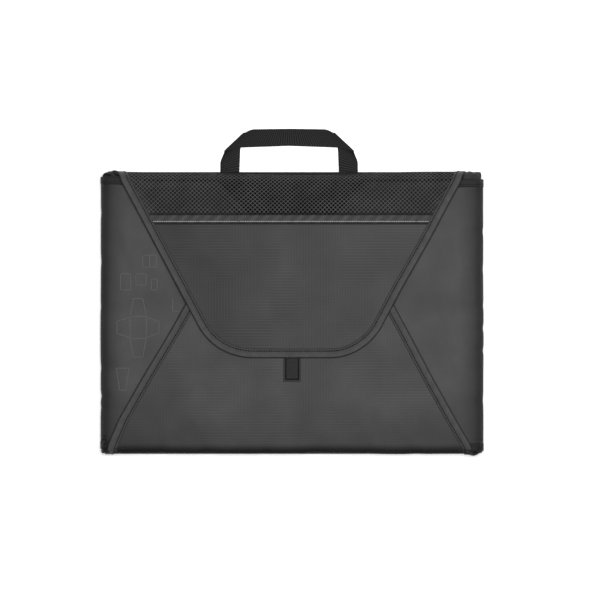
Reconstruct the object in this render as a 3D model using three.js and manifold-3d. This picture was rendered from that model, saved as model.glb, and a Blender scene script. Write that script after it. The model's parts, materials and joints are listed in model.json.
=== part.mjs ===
// A packing folder for shirts, closed and lying on its back. Millimetres.
// +Z points up out of the flap side, +Y towards the carry handle, +X to the right.
// The origin is the centre of the back panel's flat underside.
import * as THREE from "three";
import { mergeVertices } from "three/addons/utils/BufferGeometryUtils.js";
import Module from "manifold-3d";

const wasm = await Module();
wasm.setup();

// ---- Driving dimensions ------------------------------------------------------------
const BODY_WIDTH = 450; // across the folded body, side gusset to side gusset
const BODY_HEIGHT = 334; // bottom gusset to top gusset
const BODY_CORNER_RADIUS = 9;
const CAVITY_DEPTH = 16.9; // clear space above the folding board for folded clothes

const CLOTH = 0.8; // one layer of wing, flap or gusset cloth
const BACK_THICKNESS = 1.6; // the back is two layers sewn together
const GAP = 0.3; // clearance between pieces that touch when sewn or laid together
const LAYER_GAP = 0.9; // clearance between one wing and the next above it

const BOARD_THICKNESS = 1.5;
const BOARD_EDGE_CLEARANCE = 7.6; // board edge to the inner face of the back's rim
const BOARD_CORNER_RADIUS = 8;

const RIM_LIFT = 1.5; // the back's sewn rim stands this far above the back cloth

const FLAP_SIDE_STEP = 20; // flap's side edge inside the body's side, at the fold line
const FLAP_LENGTH = 220;
const FLAP_SIDE_ANGLE = 62; // degrees between the fold line and a side edge
const FLAP_TIP_RADIUS = 72;
const MESH_LENGTH = 51; // fold line to the seam band
const SEAM_BAND_WIDTH = 11;
const CORD_DIAMETER = 0.9;
const CORD_INSET = 2.8; // cord centre above the band's lower edge
const CORD_END_INSET = 1; // cord end to the side edge of the flap's cloth

const BOTTOM_SIDE_STEP = 6.5; // bottom wing's side edge inside the body's side, at the fold line
const BOTTOM_UNDER_FLAP = 91; // the bottom wing's tip lies this far under the flap
const BOTTOM_SIDE_ANGLE = 61.5;
const BOTTOM_TIP_RADIUS = 45;

const SIDE_END_STEP = 11; // side gusset's end inside the body's top or bottom
const SIDE_MIDDLE_GAP = 10; // a side wing's blunt end to the body's centre line
const SIDE_TAPER_LENGTH = 76; // how far from the end the 45 degree corners start
const SIDE_CORNER_RADIUS = 26;

const TAPE_WIDTH = 10; // binding tape around free edges
const TAPE_PROUD = 0.3; // tape stands this far above and below the cloth it edges

const LOOP_PATCH_WIDTH = 21;
const LOOP_PATCH_LENGTH = 61;
const LOOP_PATCH_BELOW_FLAP = 28; // visible length below the flap's tip
const LOOP_PATCH_THICKNESS = 1.2;
const HOOK_PATCH_WIDTH = 21;
const HOOK_PATCH_LENGTH = 30;
const HOOK_PATCH_TIP_INSET = 2; // hook patch edge to the inner edge of the flap's tape
const HOOK_PATCH_THICKNESS = 1.1;

const HANDLE_OFFSET = -3.7; // handle centre left of the body's centre
const HANDLE_BASE_WIDTH = 163.2; // outer edge to outer edge at the top seam
const HANDLE_LEG_WIDTH = 22.7;
const HANDLE_RISE = 49.7; // seam to the top of the arch
const HANDLE_FOLD_OUTER_STEP = 5.4; // mitre fold's outer end, inside the base's outer edge
const HANDLE_FOLD_OUTER_DROP = 27.5; // and below the top of the arch
const HANDLE_FOLD_INNER_STEP = 29.1; // mitre fold's inner end, inside the base's outer edge
const HANDLE_FOLD_INNER_DROP = 4.5; // and below the top of the arch
const HANDLE_GRIP_DEPTH = 20; // webbing width across the grip
const WEBBING_THICKNESS = 1.2;
const HANDLE_FLOOR_GAP = 0.2;
const HANDLE_SEAM_GAP = 0.5;

// ---- Levels, from the floor up -------------------------------------------------------
const RIM_TOP = BACK_THICKNESS + RIM_LIFT;
const FOLD_LEVEL = RIM_TOP + GAP; // fold line between the back and each gusset
const BOARD_LEVEL = BACK_THICKNESS + GAP;
const SIDE_LEVEL = BOARD_LEVEL + BOARD_THICKNESS + CAVITY_DEPTH + TAPE_PROUD;
const BOTTOM_LEVEL = SIDE_LEVEL + CLOTH + LAYER_GAP + TAPE_PROUD;
const LOOP_PATCH_LEVEL = BOTTOM_LEVEL + CLOTH + GAP;
const HOOK_PATCH_LEVEL = LOOP_PATCH_LEVEL + LOOP_PATCH_THICKNESS + GAP;
const FLAP_LEVEL = HOOK_PATCH_LEVEL + HOOK_PATCH_THICKNESS + GAP;

const HALF_WIDTH = BODY_WIDTH / 2;
const HALF_HEIGHT = BODY_HEIGHT / 2;

// ---- Widths and lengths of the wings -----------------------------------------------------
const FLAP_TOP_WIDTH = BODY_WIDTH - 2 * FLAP_SIDE_STEP;
const BOTTOM_BASE_WIDTH = BODY_WIDTH - 2 * BOTTOM_SIDE_STEP;
const BOTTOM_LENGTH = BODY_HEIGHT - FLAP_LENGTH + BOTTOM_UNDER_FLAP;
const SIDE_BASE_LENGTH = BODY_HEIGHT - 2 * SIDE_END_STEP;
const SIDE_REACH = HALF_WIDTH - SIDE_MIDDLE_GAP;

// ---- Cloths and trims ------------------------------------------------------------------
const cloth = (color, roughness) =>
  new THREE.MeshStandardMaterial({ color, roughness, metalness: 0 });
const CHARCOAL_PLAIN = cloth(0x4e4e4f, 0.62);
const CHARCOAL_RIPSTOP = cloth(0x4a4a4b, 0.7);
const DARK_BACK = cloth(0x3a3a3b, 0.75);
const BLACK_MESH = cloth(0x2b2b2c, 0.8);
const BLACK_TAPE = cloth(0x343435, 0.78);
const BLACK_WEBBING = cloth(0x2d2d2e, 0.72);
const BLACK_PILE = cloth(0x303031, 0.92);
const REFLECTIVE_GREY = cloth(0xb4b4b6, 0.45);
const BOARD_PLASTIC = cloth(0x242425, 0.6);

const group = new THREE.Group();

// ---- Geometry helpers --------------------------------------------------------------------
// Adds a named mesh to the object.
function add(name, geometry, material) {
  const mesh = new THREE.Mesh(geometry, material);
  mesh.name = name;
  group.add(mesh);
  return mesh;
}

// A flat plate with the given outline, from level up by thickness.
function plate(outline, level, thickness) {
  const shape = new THREE.Shape(outline.map(([x, y]) => new THREE.Vector2(x, y)));
  const geometry = new THREE.ExtrudeGeometry(shape, { depth: thickness, bevelEnabled: false });
  return geometry.translate(0, 0, level);
}

// A geometry as a solid that can be joined or cut.
function solid(geometry) {
  const bare = geometry.clone();
  bare.deleteAttribute("normal");
  bare.deleteAttribute("uv");
  const merged = mergeVertices(bare, 1e-4);
  return new wasm.Manifold(new wasm.Mesh({
    numProp: 3,
    vertProperties: new Float32Array(merged.attributes.position.array),
    triVerts: new Uint32Array(merged.index.array),
  }));
}

// A solid as a geometry again.
function fromSolid(body) {
  const { vertProperties, triVerts } = body.getMesh();
  const geometry = new THREE.BufferGeometry();
  geometry.setAttribute("position", new THREE.BufferAttribute(vertProperties, 3));
  geometry.setIndex(new THREE.BufferAttribute(triVerts, 1));
  geometry.computeVertexNormals();
  return geometry;
}

// An arc's points, both ends included.
function arc(cx, cy, radius, fromDegrees, toDegrees, steps) {
  const points = [];
  for (let i = 0; i <= steps; i += 1) {
    const a = THREE.MathUtils.degToRad(fromDegrees + ((toDegrees - fromDegrees) * i) / steps);
    points.push([cx + radius * Math.cos(a), cy + radius * Math.sin(a)]);
  }
  return points;
}

// A rectangle with rounded corners, anticlockwise.
function roundedRectangle(width, height, radius, steps = 5) {
  const x = width / 2 - radius;
  const y = height / 2 - radius;
  return [
    ...arc(x, y, radius, 0, 90, steps),
    ...arc(-x, y, radius, 90, 180, steps),
    ...arc(-x, -y, radius, 180, 270, steps),
    ...arc(x, -y, radius, 270, 360, steps),
  ];
}

// A plain rectangle, anticlockwise, between two corners.
function rectangle(x0, y0, x1, y1) {
  return [[x0, y0], [x1, y0], [x1, y1], [x0, y1]];
}

// An open line with each inner corner rounded off.
function roundCorners(points, radius, steps = 8) {
  const rounded = [points[0]];
  for (let i = 1; i < points.length - 1; i += 1) {
    const corner = new THREE.Vector2(...points[i]);
    const back = new THREE.Vector2(...points[i - 1]).sub(corner).normalize();
    const ahead = new THREE.Vector2(...points[i + 1]).sub(corner).normalize();
    const half = Math.acos(back.dot(ahead)) / 2;
    const reach = radius / Math.tan(half);
    const centre = back.clone().add(ahead).normalize().multiplyScalar(radius / Math.sin(half));
    centre.add(corner);
    const start = back.multiplyScalar(reach).add(corner).sub(centre);
    const end = ahead.multiplyScalar(reach).add(corner).sub(centre);
    const from = start.angle();
    let sweep = end.angle() - from;
    if (sweep > Math.PI) sweep -= 2 * Math.PI;
    if (sweep < -Math.PI) sweep += 2 * Math.PI;
    for (let k = 0; k <= steps; k += 1) {
      const a = from + (sweep * k) / steps;
      rounded.push([centre.x + radius * Math.cos(a), centre.y + radius * Math.sin(a)]);
    }
  }
  rounded.push(points[points.length - 1]);
  return rounded;
}

// The open line moved sideways: to its left for a positive distance.
function offsetLine(points, distance) {
  const normals = [];
  for (let i = 0; i + 1 < points.length; i += 1) {
    const dx = points[i + 1][0] - points[i][0];
    const dy = points[i + 1][1] - points[i][1];
    const length = Math.hypot(dx, dy);
    normals.push([-dy / length, dx / length]);
  }
  return points.map(([x, y], i) => {
    const a = normals[Math.max(i - 1, 0)];
    const b = normals[Math.min(i, normals.length - 1)];
    const scale = distance / (1 + a[0] * b[0] + a[1] * b[1]);
    return [x + (a[0] + b[0]) * scale, y + (a[1] + b[1]) * scale];
  });
}

// The line with its two ends moved along their own direction to a given y.
function trimToY(points, y) {
  const cut = (end, next) => {
    const t = (y - end[1]) / (next[1] - end[1]);
    return [end[0] + (next[0] - end[0]) * t, y];
  };
  const last = points.length - 1;
  const middle = points.slice(1, last);
  return [cut(points[0], points[1]), ...middle, cut(points[last], points[last - 1])];
}

// The line with its first end moved along itself to y = half and its last to y = -half.
function trimEnds(points, half) {
  const top = trimToY(points, half);
  const bottom = trimToY(points, -half);
  return [top[0], ...points.slice(1, -1), bottom[bottom.length - 1]];
}

// The part of a bound trapezoid's cloth between two heights, as an outline.
function clothBetween(edge, yLow, yHigh) {
  const xAt = (a, b, y) => a[0] + ((b[0] - a[0]) * (y - a[1])) / (b[1] - a[1]);
  const keep = [];
  for (let i = 0; i + 1 < edge.length; i += 1) {
    const [a, b] = [edge[i], edge[i + 1]];
    if (a[1] >= yLow && a[1] <= yHigh) keep.push(a);
    for (const y of a[1] > b[1] ? [yHigh, yLow] : [yLow, yHigh]) {
      const crosses = (a[1] - y) * (b[1] - y) < 0;
      if (crosses) keep.push([xAt(a, b, y), y]);
    }
  }
  const end = edge[edge.length - 1];
  if (end[1] >= yLow && end[1] <= yHigh) keep.push(end);
  return keep;
}

// The free edge of a wing that tapers to a rounded tip, from its left fold end to its right one.
// The fold line is at foldY and the wing points in direction sign (-1 down, 1 up).
function taperedEdge(baseWidth, length, angle, tipRadius, foldY, sign) {
  const inset = length / Math.tan(THREE.MathUtils.degToRad(angle));
  const tipY = foldY + sign * length;
  return roundCorners([
    [-baseWidth / 2, foldY],
    [-baseWidth / 2 + inset, tipY],
    [baseWidth / 2 - inset, tipY],
    [baseWidth / 2, foldY],
  ], tipRadius, 10);
}

// The tape's outline along a free edge: the edge itself, then the same edge moved inwards.
function tapeOutline(edge, inwards, foldY) {
  const inner = offsetLine(edge, inwards * TAPE_WIDTH);
  const trimmed = foldY === null ? inner : trimToY(inner, foldY);
  return [...edge, ...trimmed.reverse()];
}

// ---- Back: a cloth tray whose low sewn rim carries every gusset ----------------------------
const backOuter = plate(
  roundedRectangle(BODY_WIDTH, BODY_HEIGHT, BODY_CORNER_RADIUS), 0, RIM_TOP);
const backInner = plate(
  roundedRectangle(BODY_WIDTH - 2 * CLOTH, BODY_HEIGHT - 2 * CLOTH, BODY_CORNER_RADIUS - CLOTH),
  BACK_THICKNESS, RIM_LIFT + 1);
add("back_panel", fromSolid(solid(backOuter).subtract(solid(backInner))), DARK_BACK);

// ---- Folding board: a loose stiff sheet lying on the back inside the folder ----------------
const boardInset = 2 * (CLOTH + BOARD_EDGE_CLEARANCE);
add("folding_board", plate(
  roundedRectangle(BODY_WIDTH - boardInset, BODY_HEIGHT - boardInset, BOARD_CORNER_RADIUS),
  BOARD_LEVEL, BOARD_THICKNESS), BOARD_PLASTIC);

// ---- Handle: one webbing strap, mitre-folded twice, legs behind and grip in front ----------
const seamY = HALF_HEIGHT + HANDLE_SEAM_GAP;
const handleOuter = HANDLE_BASE_WIDTH / 2;
const foldOuter = [handleOuter - HANDLE_FOLD_OUTER_STEP, HANDLE_RISE - HANDLE_FOLD_OUTER_DROP];
const foldInner = [handleOuter - HANDLE_FOLD_INNER_STEP, HANDLE_RISE - HANDLE_FOLD_INNER_DROP];
const handlePoint = ([x, y], side) => [HANDLE_OFFSET + side * x, HALF_HEIGHT + y];
function handleLeg(side) {
  const outline = [
    [HANDLE_OFFSET + side * handleOuter, seamY],
    handlePoint(foldOuter, side),
    handlePoint(foldInner, side),
    [HANDLE_OFFSET + side * (handleOuter - HANDLE_LEG_WIDTH), seamY],
  ];
  return solid(plate(outline, HANDLE_FLOOR_GAP, WEBBING_THICKNESS));
}
const archLow = HANDLE_RISE - HANDLE_GRIP_DEPTH;
const gripHalf = [
  [0, HANDLE_RISE],
  [foldInner[0] - 26.5, HANDLE_RISE - 0.3],
  [foldInner[0] - 10.5, HANDLE_RISE - 1.4],
  foldInner,
  foldOuter,
  [foldOuter[0] - 14.2, archLow - 3.4],
  [foldOuter[0] - 26.2, archLow - 1.2],
  [foldOuter[0] - 40.2, archLow],
];
const grip = [
  ...gripHalf.map((point) => handlePoint(point, 1)),
  ...gripHalf.slice(1).reverse().map((point) => handlePoint(point, -1)),
];
const handle = handleLeg(-1)
  .add(handleLeg(1))
  .add(solid(plate(grip, HANDLE_FLOOR_GAP + WEBBING_THICKNESS, WEBBING_THICKNESS)));
add("handle_webbing", fromSolid(handle), BLACK_WEBBING);

// ---- Side wings: the gusset at the body's side, then the wing laid over the clothes --------
const sideGussetHeight = SIDE_LEVEL - TAPE_PROUD - GAP - FOLD_LEVEL;
function sideWing(name, side) {
  const half = SIDE_BASE_LENGTH / 2;
  const endX = HALF_WIDTH - SIDE_REACH;
  const taperX = endX + SIDE_TAPER_LENGTH;
  const edge = roundCorners([
    [side * taperX, half],
    [side * endX, half - SIDE_TAPER_LENGTH],
    [side * endX, -half + SIDE_TAPER_LENGTH],
    [side * taperX, -half],
  ], SIDE_CORNER_RADIUS);
  const gussetX = [side * HALF_WIDTH, side * (HALF_WIDTH - CLOTH)];
  add(`${name}_gusset`, plate(
    rectangle(Math.min(...gussetX), -half, Math.max(...gussetX), half),
    FOLD_LEVEL, sideGussetHeight), CHARCOAL_PLAIN);
  const inner = offsetLine(edge, side * (TAPE_WIDTH + GAP));
  const clothEdge = trimEnds(inner, half);
  add(`${name}_wing`, plate(
    [[side * HALF_WIDTH, half], ...clothEdge, [side * HALF_WIDTH, -half]],
    SIDE_LEVEL, CLOTH), CHARCOAL_PLAIN);
  const tapeInner = trimEnds(offsetLine(edge, side * TAPE_WIDTH), half);
  add(`${name}_wing_tape`, plate(
    [...edge, ...tapeInner.reverse()],
    SIDE_LEVEL - TAPE_PROUD, CLOTH + 2 * TAPE_PROUD), BLACK_TAPE);
}

sideWing("left", -1);
sideWing("right", 1);

// ---- Bottom wing: tapers upwards over the side wings ----------------------------------------
const bottomEdge = taperedEdge(
  BOTTOM_BASE_WIDTH, BOTTOM_LENGTH, BOTTOM_SIDE_ANGLE, BOTTOM_TIP_RADIUS, -HALF_HEIGHT, 1);
const bottomClothEdge = trimToY(offsetLine(bottomEdge, -(TAPE_WIDTH + GAP)), -HALF_HEIGHT);
add("bottom_gusset", plate(
  rectangle(-BOTTOM_BASE_WIDTH / 2, -HALF_HEIGHT, BOTTOM_BASE_WIDTH / 2, -HALF_HEIGHT + CLOTH),
  FOLD_LEVEL, BOTTOM_LEVEL - TAPE_PROUD - GAP - FOLD_LEVEL), CHARCOAL_RIPSTOP);
add("bottom_wing", plate(bottomClothEdge, BOTTOM_LEVEL, CLOTH), CHARCOAL_RIPSTOP);
add("bottom_wing_tape", plate(
  tapeOutline(bottomEdge, -1, -HALF_HEIGHT),
  BOTTOM_LEVEL - TAPE_PROUD, CLOTH + 2 * TAPE_PROUD), BLACK_TAPE);

// ---- Fastening patches: loop on the bottom wing, hook under the flap's tip -------------------
const flapTipY = HALF_HEIGHT - FLAP_LENGTH;
const loopLow = flapTipY - LOOP_PATCH_BELOW_FLAP;
const hookLow = flapTipY + TAPE_WIDTH + HOOK_PATCH_TIP_INSET;
add("loop_patch", plate(
  rectangle(-LOOP_PATCH_WIDTH / 2, loopLow, LOOP_PATCH_WIDTH / 2, loopLow + LOOP_PATCH_LENGTH),
  LOOP_PATCH_LEVEL, LOOP_PATCH_THICKNESS), BLACK_PILE);
add("hook_patch", plate(
  rectangle(-HOOK_PATCH_WIDTH / 2, hookLow, HOOK_PATCH_WIDTH / 2, hookLow + HOOK_PATCH_LENGTH),
  HOOK_PATCH_LEVEL, HOOK_PATCH_THICKNESS), BLACK_PILE);

// ---- Flap: mesh gusset and mesh upper part, a seam band with a cord, then ripstop ------------
const flapEdge = taperedEdge(
  FLAP_TOP_WIDTH, FLAP_LENGTH, FLAP_SIDE_ANGLE, FLAP_TIP_RADIUS, HALF_HEIGHT, -1);
const flapClothEdge = trimToY(offsetLine(flapEdge, TAPE_WIDTH + GAP), HALF_HEIGHT);
const bandTop = HALF_HEIGHT - MESH_LENGTH;
const bandLow = bandTop - SEAM_BAND_WIDTH;
add("top_gusset_mesh", plate(
  rectangle(-FLAP_TOP_WIDTH / 2, HALF_HEIGHT - CLOTH, FLAP_TOP_WIDTH / 2, HALF_HEIGHT),
  FOLD_LEVEL, FLAP_LEVEL - TAPE_PROUD - GAP - FOLD_LEVEL), BLACK_MESH);
add("flap_mesh", plate(
  clothBetween(flapClothEdge, bandTop + GAP, HALF_HEIGHT), FLAP_LEVEL, CLOTH), BLACK_MESH);
add("flap_seam_band", plate(
  clothBetween(flapClothEdge, bandLow, bandTop),
  FLAP_LEVEL - TAPE_PROUD, CLOTH + 2 * TAPE_PROUD), CHARCOAL_RIPSTOP);
add("flap_panel", plate(
  clothBetween(flapClothEdge, -HALF_HEIGHT, bandLow - GAP), FLAP_LEVEL, CLOTH), CHARCOAL_RIPSTOP);
add("flap_tape", plate(
  tapeOutline(flapEdge, 1, HALF_HEIGHT),
  FLAP_LEVEL - TAPE_PROUD, CLOTH + 2 * TAPE_PROUD), BLACK_TAPE);

const cordY = bandLow + CORD_INSET;
const halfWidthAtCord = clothBetween(flapClothEdge, cordY, HALF_HEIGHT)
  .reduce((least, [x]) => Math.min(least, Math.abs(x)), FLAP_TOP_WIDTH);
const cordHalf = halfWidthAtCord - CORD_END_INSET;
const cord = new THREE.CylinderGeometry(CORD_DIAMETER / 2, CORD_DIAMETER / 2, 2 * cordHalf, 10);
cord.rotateZ(Math.PI / 2);
cord.translate(
  0, cordY, FLAP_LEVEL + CLOTH + TAPE_PROUD + GAP + CORD_DIAMETER / 2);
add("flap_reflective_cord", cord, REFLECTIVE_GREY);

export default group;
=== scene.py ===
import json
import math

import bmesh
import bpy
import numpy as np
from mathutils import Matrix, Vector

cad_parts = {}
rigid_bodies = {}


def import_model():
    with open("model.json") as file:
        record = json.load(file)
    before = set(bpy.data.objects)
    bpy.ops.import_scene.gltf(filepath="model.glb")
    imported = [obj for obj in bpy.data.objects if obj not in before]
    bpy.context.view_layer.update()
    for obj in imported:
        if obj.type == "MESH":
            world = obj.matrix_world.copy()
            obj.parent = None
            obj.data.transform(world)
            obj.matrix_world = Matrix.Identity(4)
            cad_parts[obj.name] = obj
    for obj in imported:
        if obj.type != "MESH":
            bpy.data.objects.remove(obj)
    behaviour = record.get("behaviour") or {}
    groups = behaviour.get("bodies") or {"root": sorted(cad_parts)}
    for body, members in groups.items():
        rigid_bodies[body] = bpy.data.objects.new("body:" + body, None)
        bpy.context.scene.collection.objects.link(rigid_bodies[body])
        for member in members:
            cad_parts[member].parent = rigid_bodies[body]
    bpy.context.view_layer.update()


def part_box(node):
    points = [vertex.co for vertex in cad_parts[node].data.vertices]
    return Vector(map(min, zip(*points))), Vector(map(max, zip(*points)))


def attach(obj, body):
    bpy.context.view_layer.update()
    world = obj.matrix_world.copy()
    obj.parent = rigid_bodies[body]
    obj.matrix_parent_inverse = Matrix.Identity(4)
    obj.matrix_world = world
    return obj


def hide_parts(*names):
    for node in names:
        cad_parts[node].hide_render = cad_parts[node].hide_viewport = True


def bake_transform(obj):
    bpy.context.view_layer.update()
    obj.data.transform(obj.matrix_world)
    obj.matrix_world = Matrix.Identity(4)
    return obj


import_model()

bl_info = {
    "name": "Packing Folder",
    "version": (1, 0, 0),
    "blender": (4, 5, 0),
    "location": "View3D > Sidebar > Packing Folder",
    "description": "Builds a soft packing folder for shirts around its packed frame",
    "category": "Object",
}

MM = 0.001
METRE = 1000.0
CORD_TWIST = 2.6  # one turn of the reflective cord, in millimetres
STITCH_INSET = 8.2  # stitches to the folded edge of the binding tape, in millimetres
STITCH_GAP = 1.05  # between two stitches, in millimetres
PATCH_SEAM = 3.0  # a patch's seam to its edges, in millimetres
HANDLE_RUN = 213.0  # length of the webbing along its middle, in millimetres
HANDLE_FOLD_RUN = 66.1  # from the webbing's middle to each of its folds, in millimetres
# The three numbers below place painted shade on a side wing's cloth where the flap covers it.
UNDER_FLAP_SLOPE = 0.532  # slant of the flap's edge over a side wing
UNDER_FLAP_START = 0.116  # where the flap's edge crosses a side wing's middle, in metres
UNDER_FLAP_SHADE_SPAN = 0.022  # how gradually the cloth gets darker under the flap, in metres
UNDER_TAPE = 5.0  # from a tape's folded edge to the cloth's edge inside it, in millimetres
NETTING_EDGE = 5.5  # the same for the netting and the seam band
NETTING_BEHIND_BAND = 3.0  # how far the netting goes on behind the seam band
FLAP_SIDE_ANGLE = 62  # the flap's sides to its fold, in degrees
BOTTOM_SIDE_ANGLE = 61.5  # the bottom wing's sides to its fold, in degrees
FLAP_CORNER = 72  # radii of the wings' corners, in millimetres
BOTTOM_CORNER = 45
SIDE_CORNER = 26
SIDE_TAPER = 76  # how far a side wing narrows at each end, in millimetres
SIDE_TAPE_END = 2.6  # from a side tape's end to its box
HANDLE_FOLD_LOW = (76.4, 23.6)  # the ends of a mitre fold, from the middle of the top seam
HANDLE_FOLD_HIGH = (52.8, 45.8)
HANDLE_LAYERS = (1.0, 2.35)  # heights of the legs and of the grip that is folded over them
WEBBING_WIDTH = 20
FLOOR_SIZE = 6.0  # half the floor's width, in metres
FLOOR_DROP = 0.0004  # the floor lies this far below the folder
CAMERA_PLACE = (0.0092, 0.0153, 5.0)  # straight above, in metres
CAMERA_AIM_LEVEL = 0.02  # height at which the camera's width is measured
SHOWN_WIDTH = 0.7068  # width that the camera shows at that height
SENSOR = 36.0


def node_box(node):
    """A node's lowest and highest corners, in millimetres."""
    low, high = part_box(node)
    return np.array(low) * METRE, np.array(high) * METRE


BACK_LOW, BACK_HIGH = node_box("back_panel")
HALF_WIDTH = BACK_HIGH[0]
HALF_HEIGHT = BACK_HIGH[1]
SIDE_LOW, SIDE_HIGH = node_box("right_wing")
SIDE_TAPE_LOW, SIDE_TAPE_HIGH = node_box("right_wing_tape")
BOTTOM_LOW, BOTTOM_HIGH = node_box("bottom_wing_tape")
FLAP_LOW, FLAP_HIGH = node_box("flap_tape")
BAND_LOW, BAND_HIGH = node_box("flap_seam_band")
CORD_LOW, CORD_HIGH = node_box("flap_reflective_cord")
LOOP_LOW, LOOP_HIGH = node_box("loop_patch")
HOOK_LOW, HOOK_HIGH = node_box("hook_patch")
HANDLE_LOW, HANDLE_HIGH = node_box("handle_webbing")


# ---- Settings a user would change ---------------------------------------------------------
class FolderSizes(bpy.types.PropertyGroup):
    """Sizes of the folder's cloth and trims."""

    cloth: bpy.props.FloatProperty(
        name="Cloth", description="Thickness of one cloth layer",
        default=0.0008, min=0.0003, max=0.003, unit="LENGTH")
    roll: bpy.props.FloatProperty(
        name="Edge roll", description="How far the cloth rolls in at the folder's edges",
        default=0.012, min=0.004, max=0.02, unit="LENGTH")
    tape: bpy.props.FloatProperty(
        name="Edge tape", description="Width of the binding tape",
        default=0.0112, min=0.006, max=0.02, unit="LENGTH")
    stitch: bpy.props.FloatProperty(
        name="Stitch", description="Length of one stitch",
        default=0.0019, min=0.001, max=0.006, unit="LENGTH")
    netting: bpy.props.FloatProperty(
        name="Netting", description="Repeat of the netting's holes",
        default=0.0051, min=0.003, max=0.012, unit="LENGTH")
    ripstop: bpy.props.FloatProperty(
        name="Ripstop", description="Spacing of the ripstop cloth's grid threads",
        default=0.0034, min=0.001, max=0.01, unit="LENGTH")


class FolderColours(bpy.types.PropertyGroup):
    """Colours of the folder's cloths and trims."""

    plain: bpy.props.FloatVectorProperty(
        name="Plain cloth", description="Side wings", subtype="COLOR",
        default=(0.0540, 0.0538, 0.0544), min=0, max=1)
    ripstop: bpy.props.FloatVectorProperty(
        name="Ripstop cloth", description="Flap and bottom wing", subtype="COLOR",
        default=(0.0610, 0.0610, 0.0615), min=0, max=1)
    flap: bpy.props.FloatVectorProperty(
        name="Flap cloth", description="Ripstop panel of the flap", subtype="COLOR",
        default=(0.0460, 0.0460, 0.0465), min=0, max=1)
    band: bpy.props.FloatVectorProperty(
        name="Seam band", description="Folded hem below the netting", subtype="COLOR",
        default=(0.0400, 0.0400, 0.0404), min=0, max=1)
    tape: bpy.props.FloatVectorProperty(
        name="Edge tape", description="Binding tape", subtype="COLOR",
        default=(0.0520, 0.0520, 0.0525), min=0, max=1)
    # A darker copy of the edge tape's colour: painted shade for the side wings' tapes, which lie
    # under the flap and its netting.
    side_tape: bpy.props.FloatVectorProperty(
        name="Side tape", description="Binding tape of the side wings", subtype="COLOR",
        default=(0.0120, 0.0120, 0.0122), min=0, max=1)
    webbing: bpy.props.FloatVectorProperty(
        name="Webbing", description="Carry handle", subtype="COLOR",
        default=(0.0150, 0.0150, 0.0153), min=0, max=1)
    netting: bpy.props.FloatVectorProperty(
        name="Netting", description="Netting thread", subtype="COLOR",
        default=(0.0600, 0.0600, 0.0606), min=0, max=1)
    pile: bpy.props.FloatVectorProperty(
        name="Patches", description="Hook and loop patches", subtype="COLOR",
        default=(0.0190, 0.0190, 0.0193), min=0, max=1)
    thread: bpy.props.FloatVectorProperty(
        name="Thread", description="Sewing thread", subtype="COLOR",
        default=(0.0030, 0.0030, 0.0031), min=0, max=1)
    cord: bpy.props.FloatVectorProperty(
        name="Cord", description="Reflective cord on the seam band", subtype="COLOR",
        default=(0.55, 0.55, 0.56), min=0, max=1)
    ink: bpy.props.FloatVectorProperty(
        name="Print", description="Folding marks printed on the left wing", subtype="COLOR",
        default=(0.100, 0.100, 0.101), min=0, max=1)
    # A much darker copy of the plain cloth's colour: painted shade in the crumpled corners.
    tuck: bpy.props.FloatVectorProperty(
        name="Tucks", description="Crumpled cloth in the corners", subtype="COLOR",
        default=(0.0085, 0.0085, 0.0087), min=0, max=1)


# ---- Shader building ----------------------------------------------------------------------
class Wire:
    """A socket that takes part in arithmetic."""

    def __init__(self, maker, socket):
        self.maker = maker
        self.socket = socket

    def math(self, operation, *values):
        return self.maker.node("ShaderNodeMath", {"operation": operation}, *values)

    def __add__(self, other):
        return self.math("ADD", self, other)

    def __sub__(self, other):
        return self.math("SUBTRACT", self, other)

    def __rsub__(self, other):
        return self.math("SUBTRACT", other, self)

    def __mul__(self, other):
        return self.math("MULTIPLY", self, other)

    __radd__ = __add__
    __rmul__ = __mul__

    def wave(self, period):
        """A sine between -1 and 1 that repeats every period."""
        return self.math("SINE", self * (2 * math.pi / period))

    def swell(self, period):
        """The same between 0 and 1."""
        return self.wave(period) * 0.5 + 0.5

    def power(self, exponent):
        return self.math("POWER", self, exponent)

    def absolute(self):
        return self.math("ABSOLUTE", self)

    def ramp(self, start, end, low=0.0, high=1.0):
        """Goes smoothly from low to high while the value goes from start to end."""
        return self.maker.node(
            "ShaderNodeMapRange", {"interpolation_type": "SMOOTHSTEP"},
            self, start, end, low, high)

    def greatest(self, other):
        return self.math("MAXIMUM", self, other)


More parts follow.
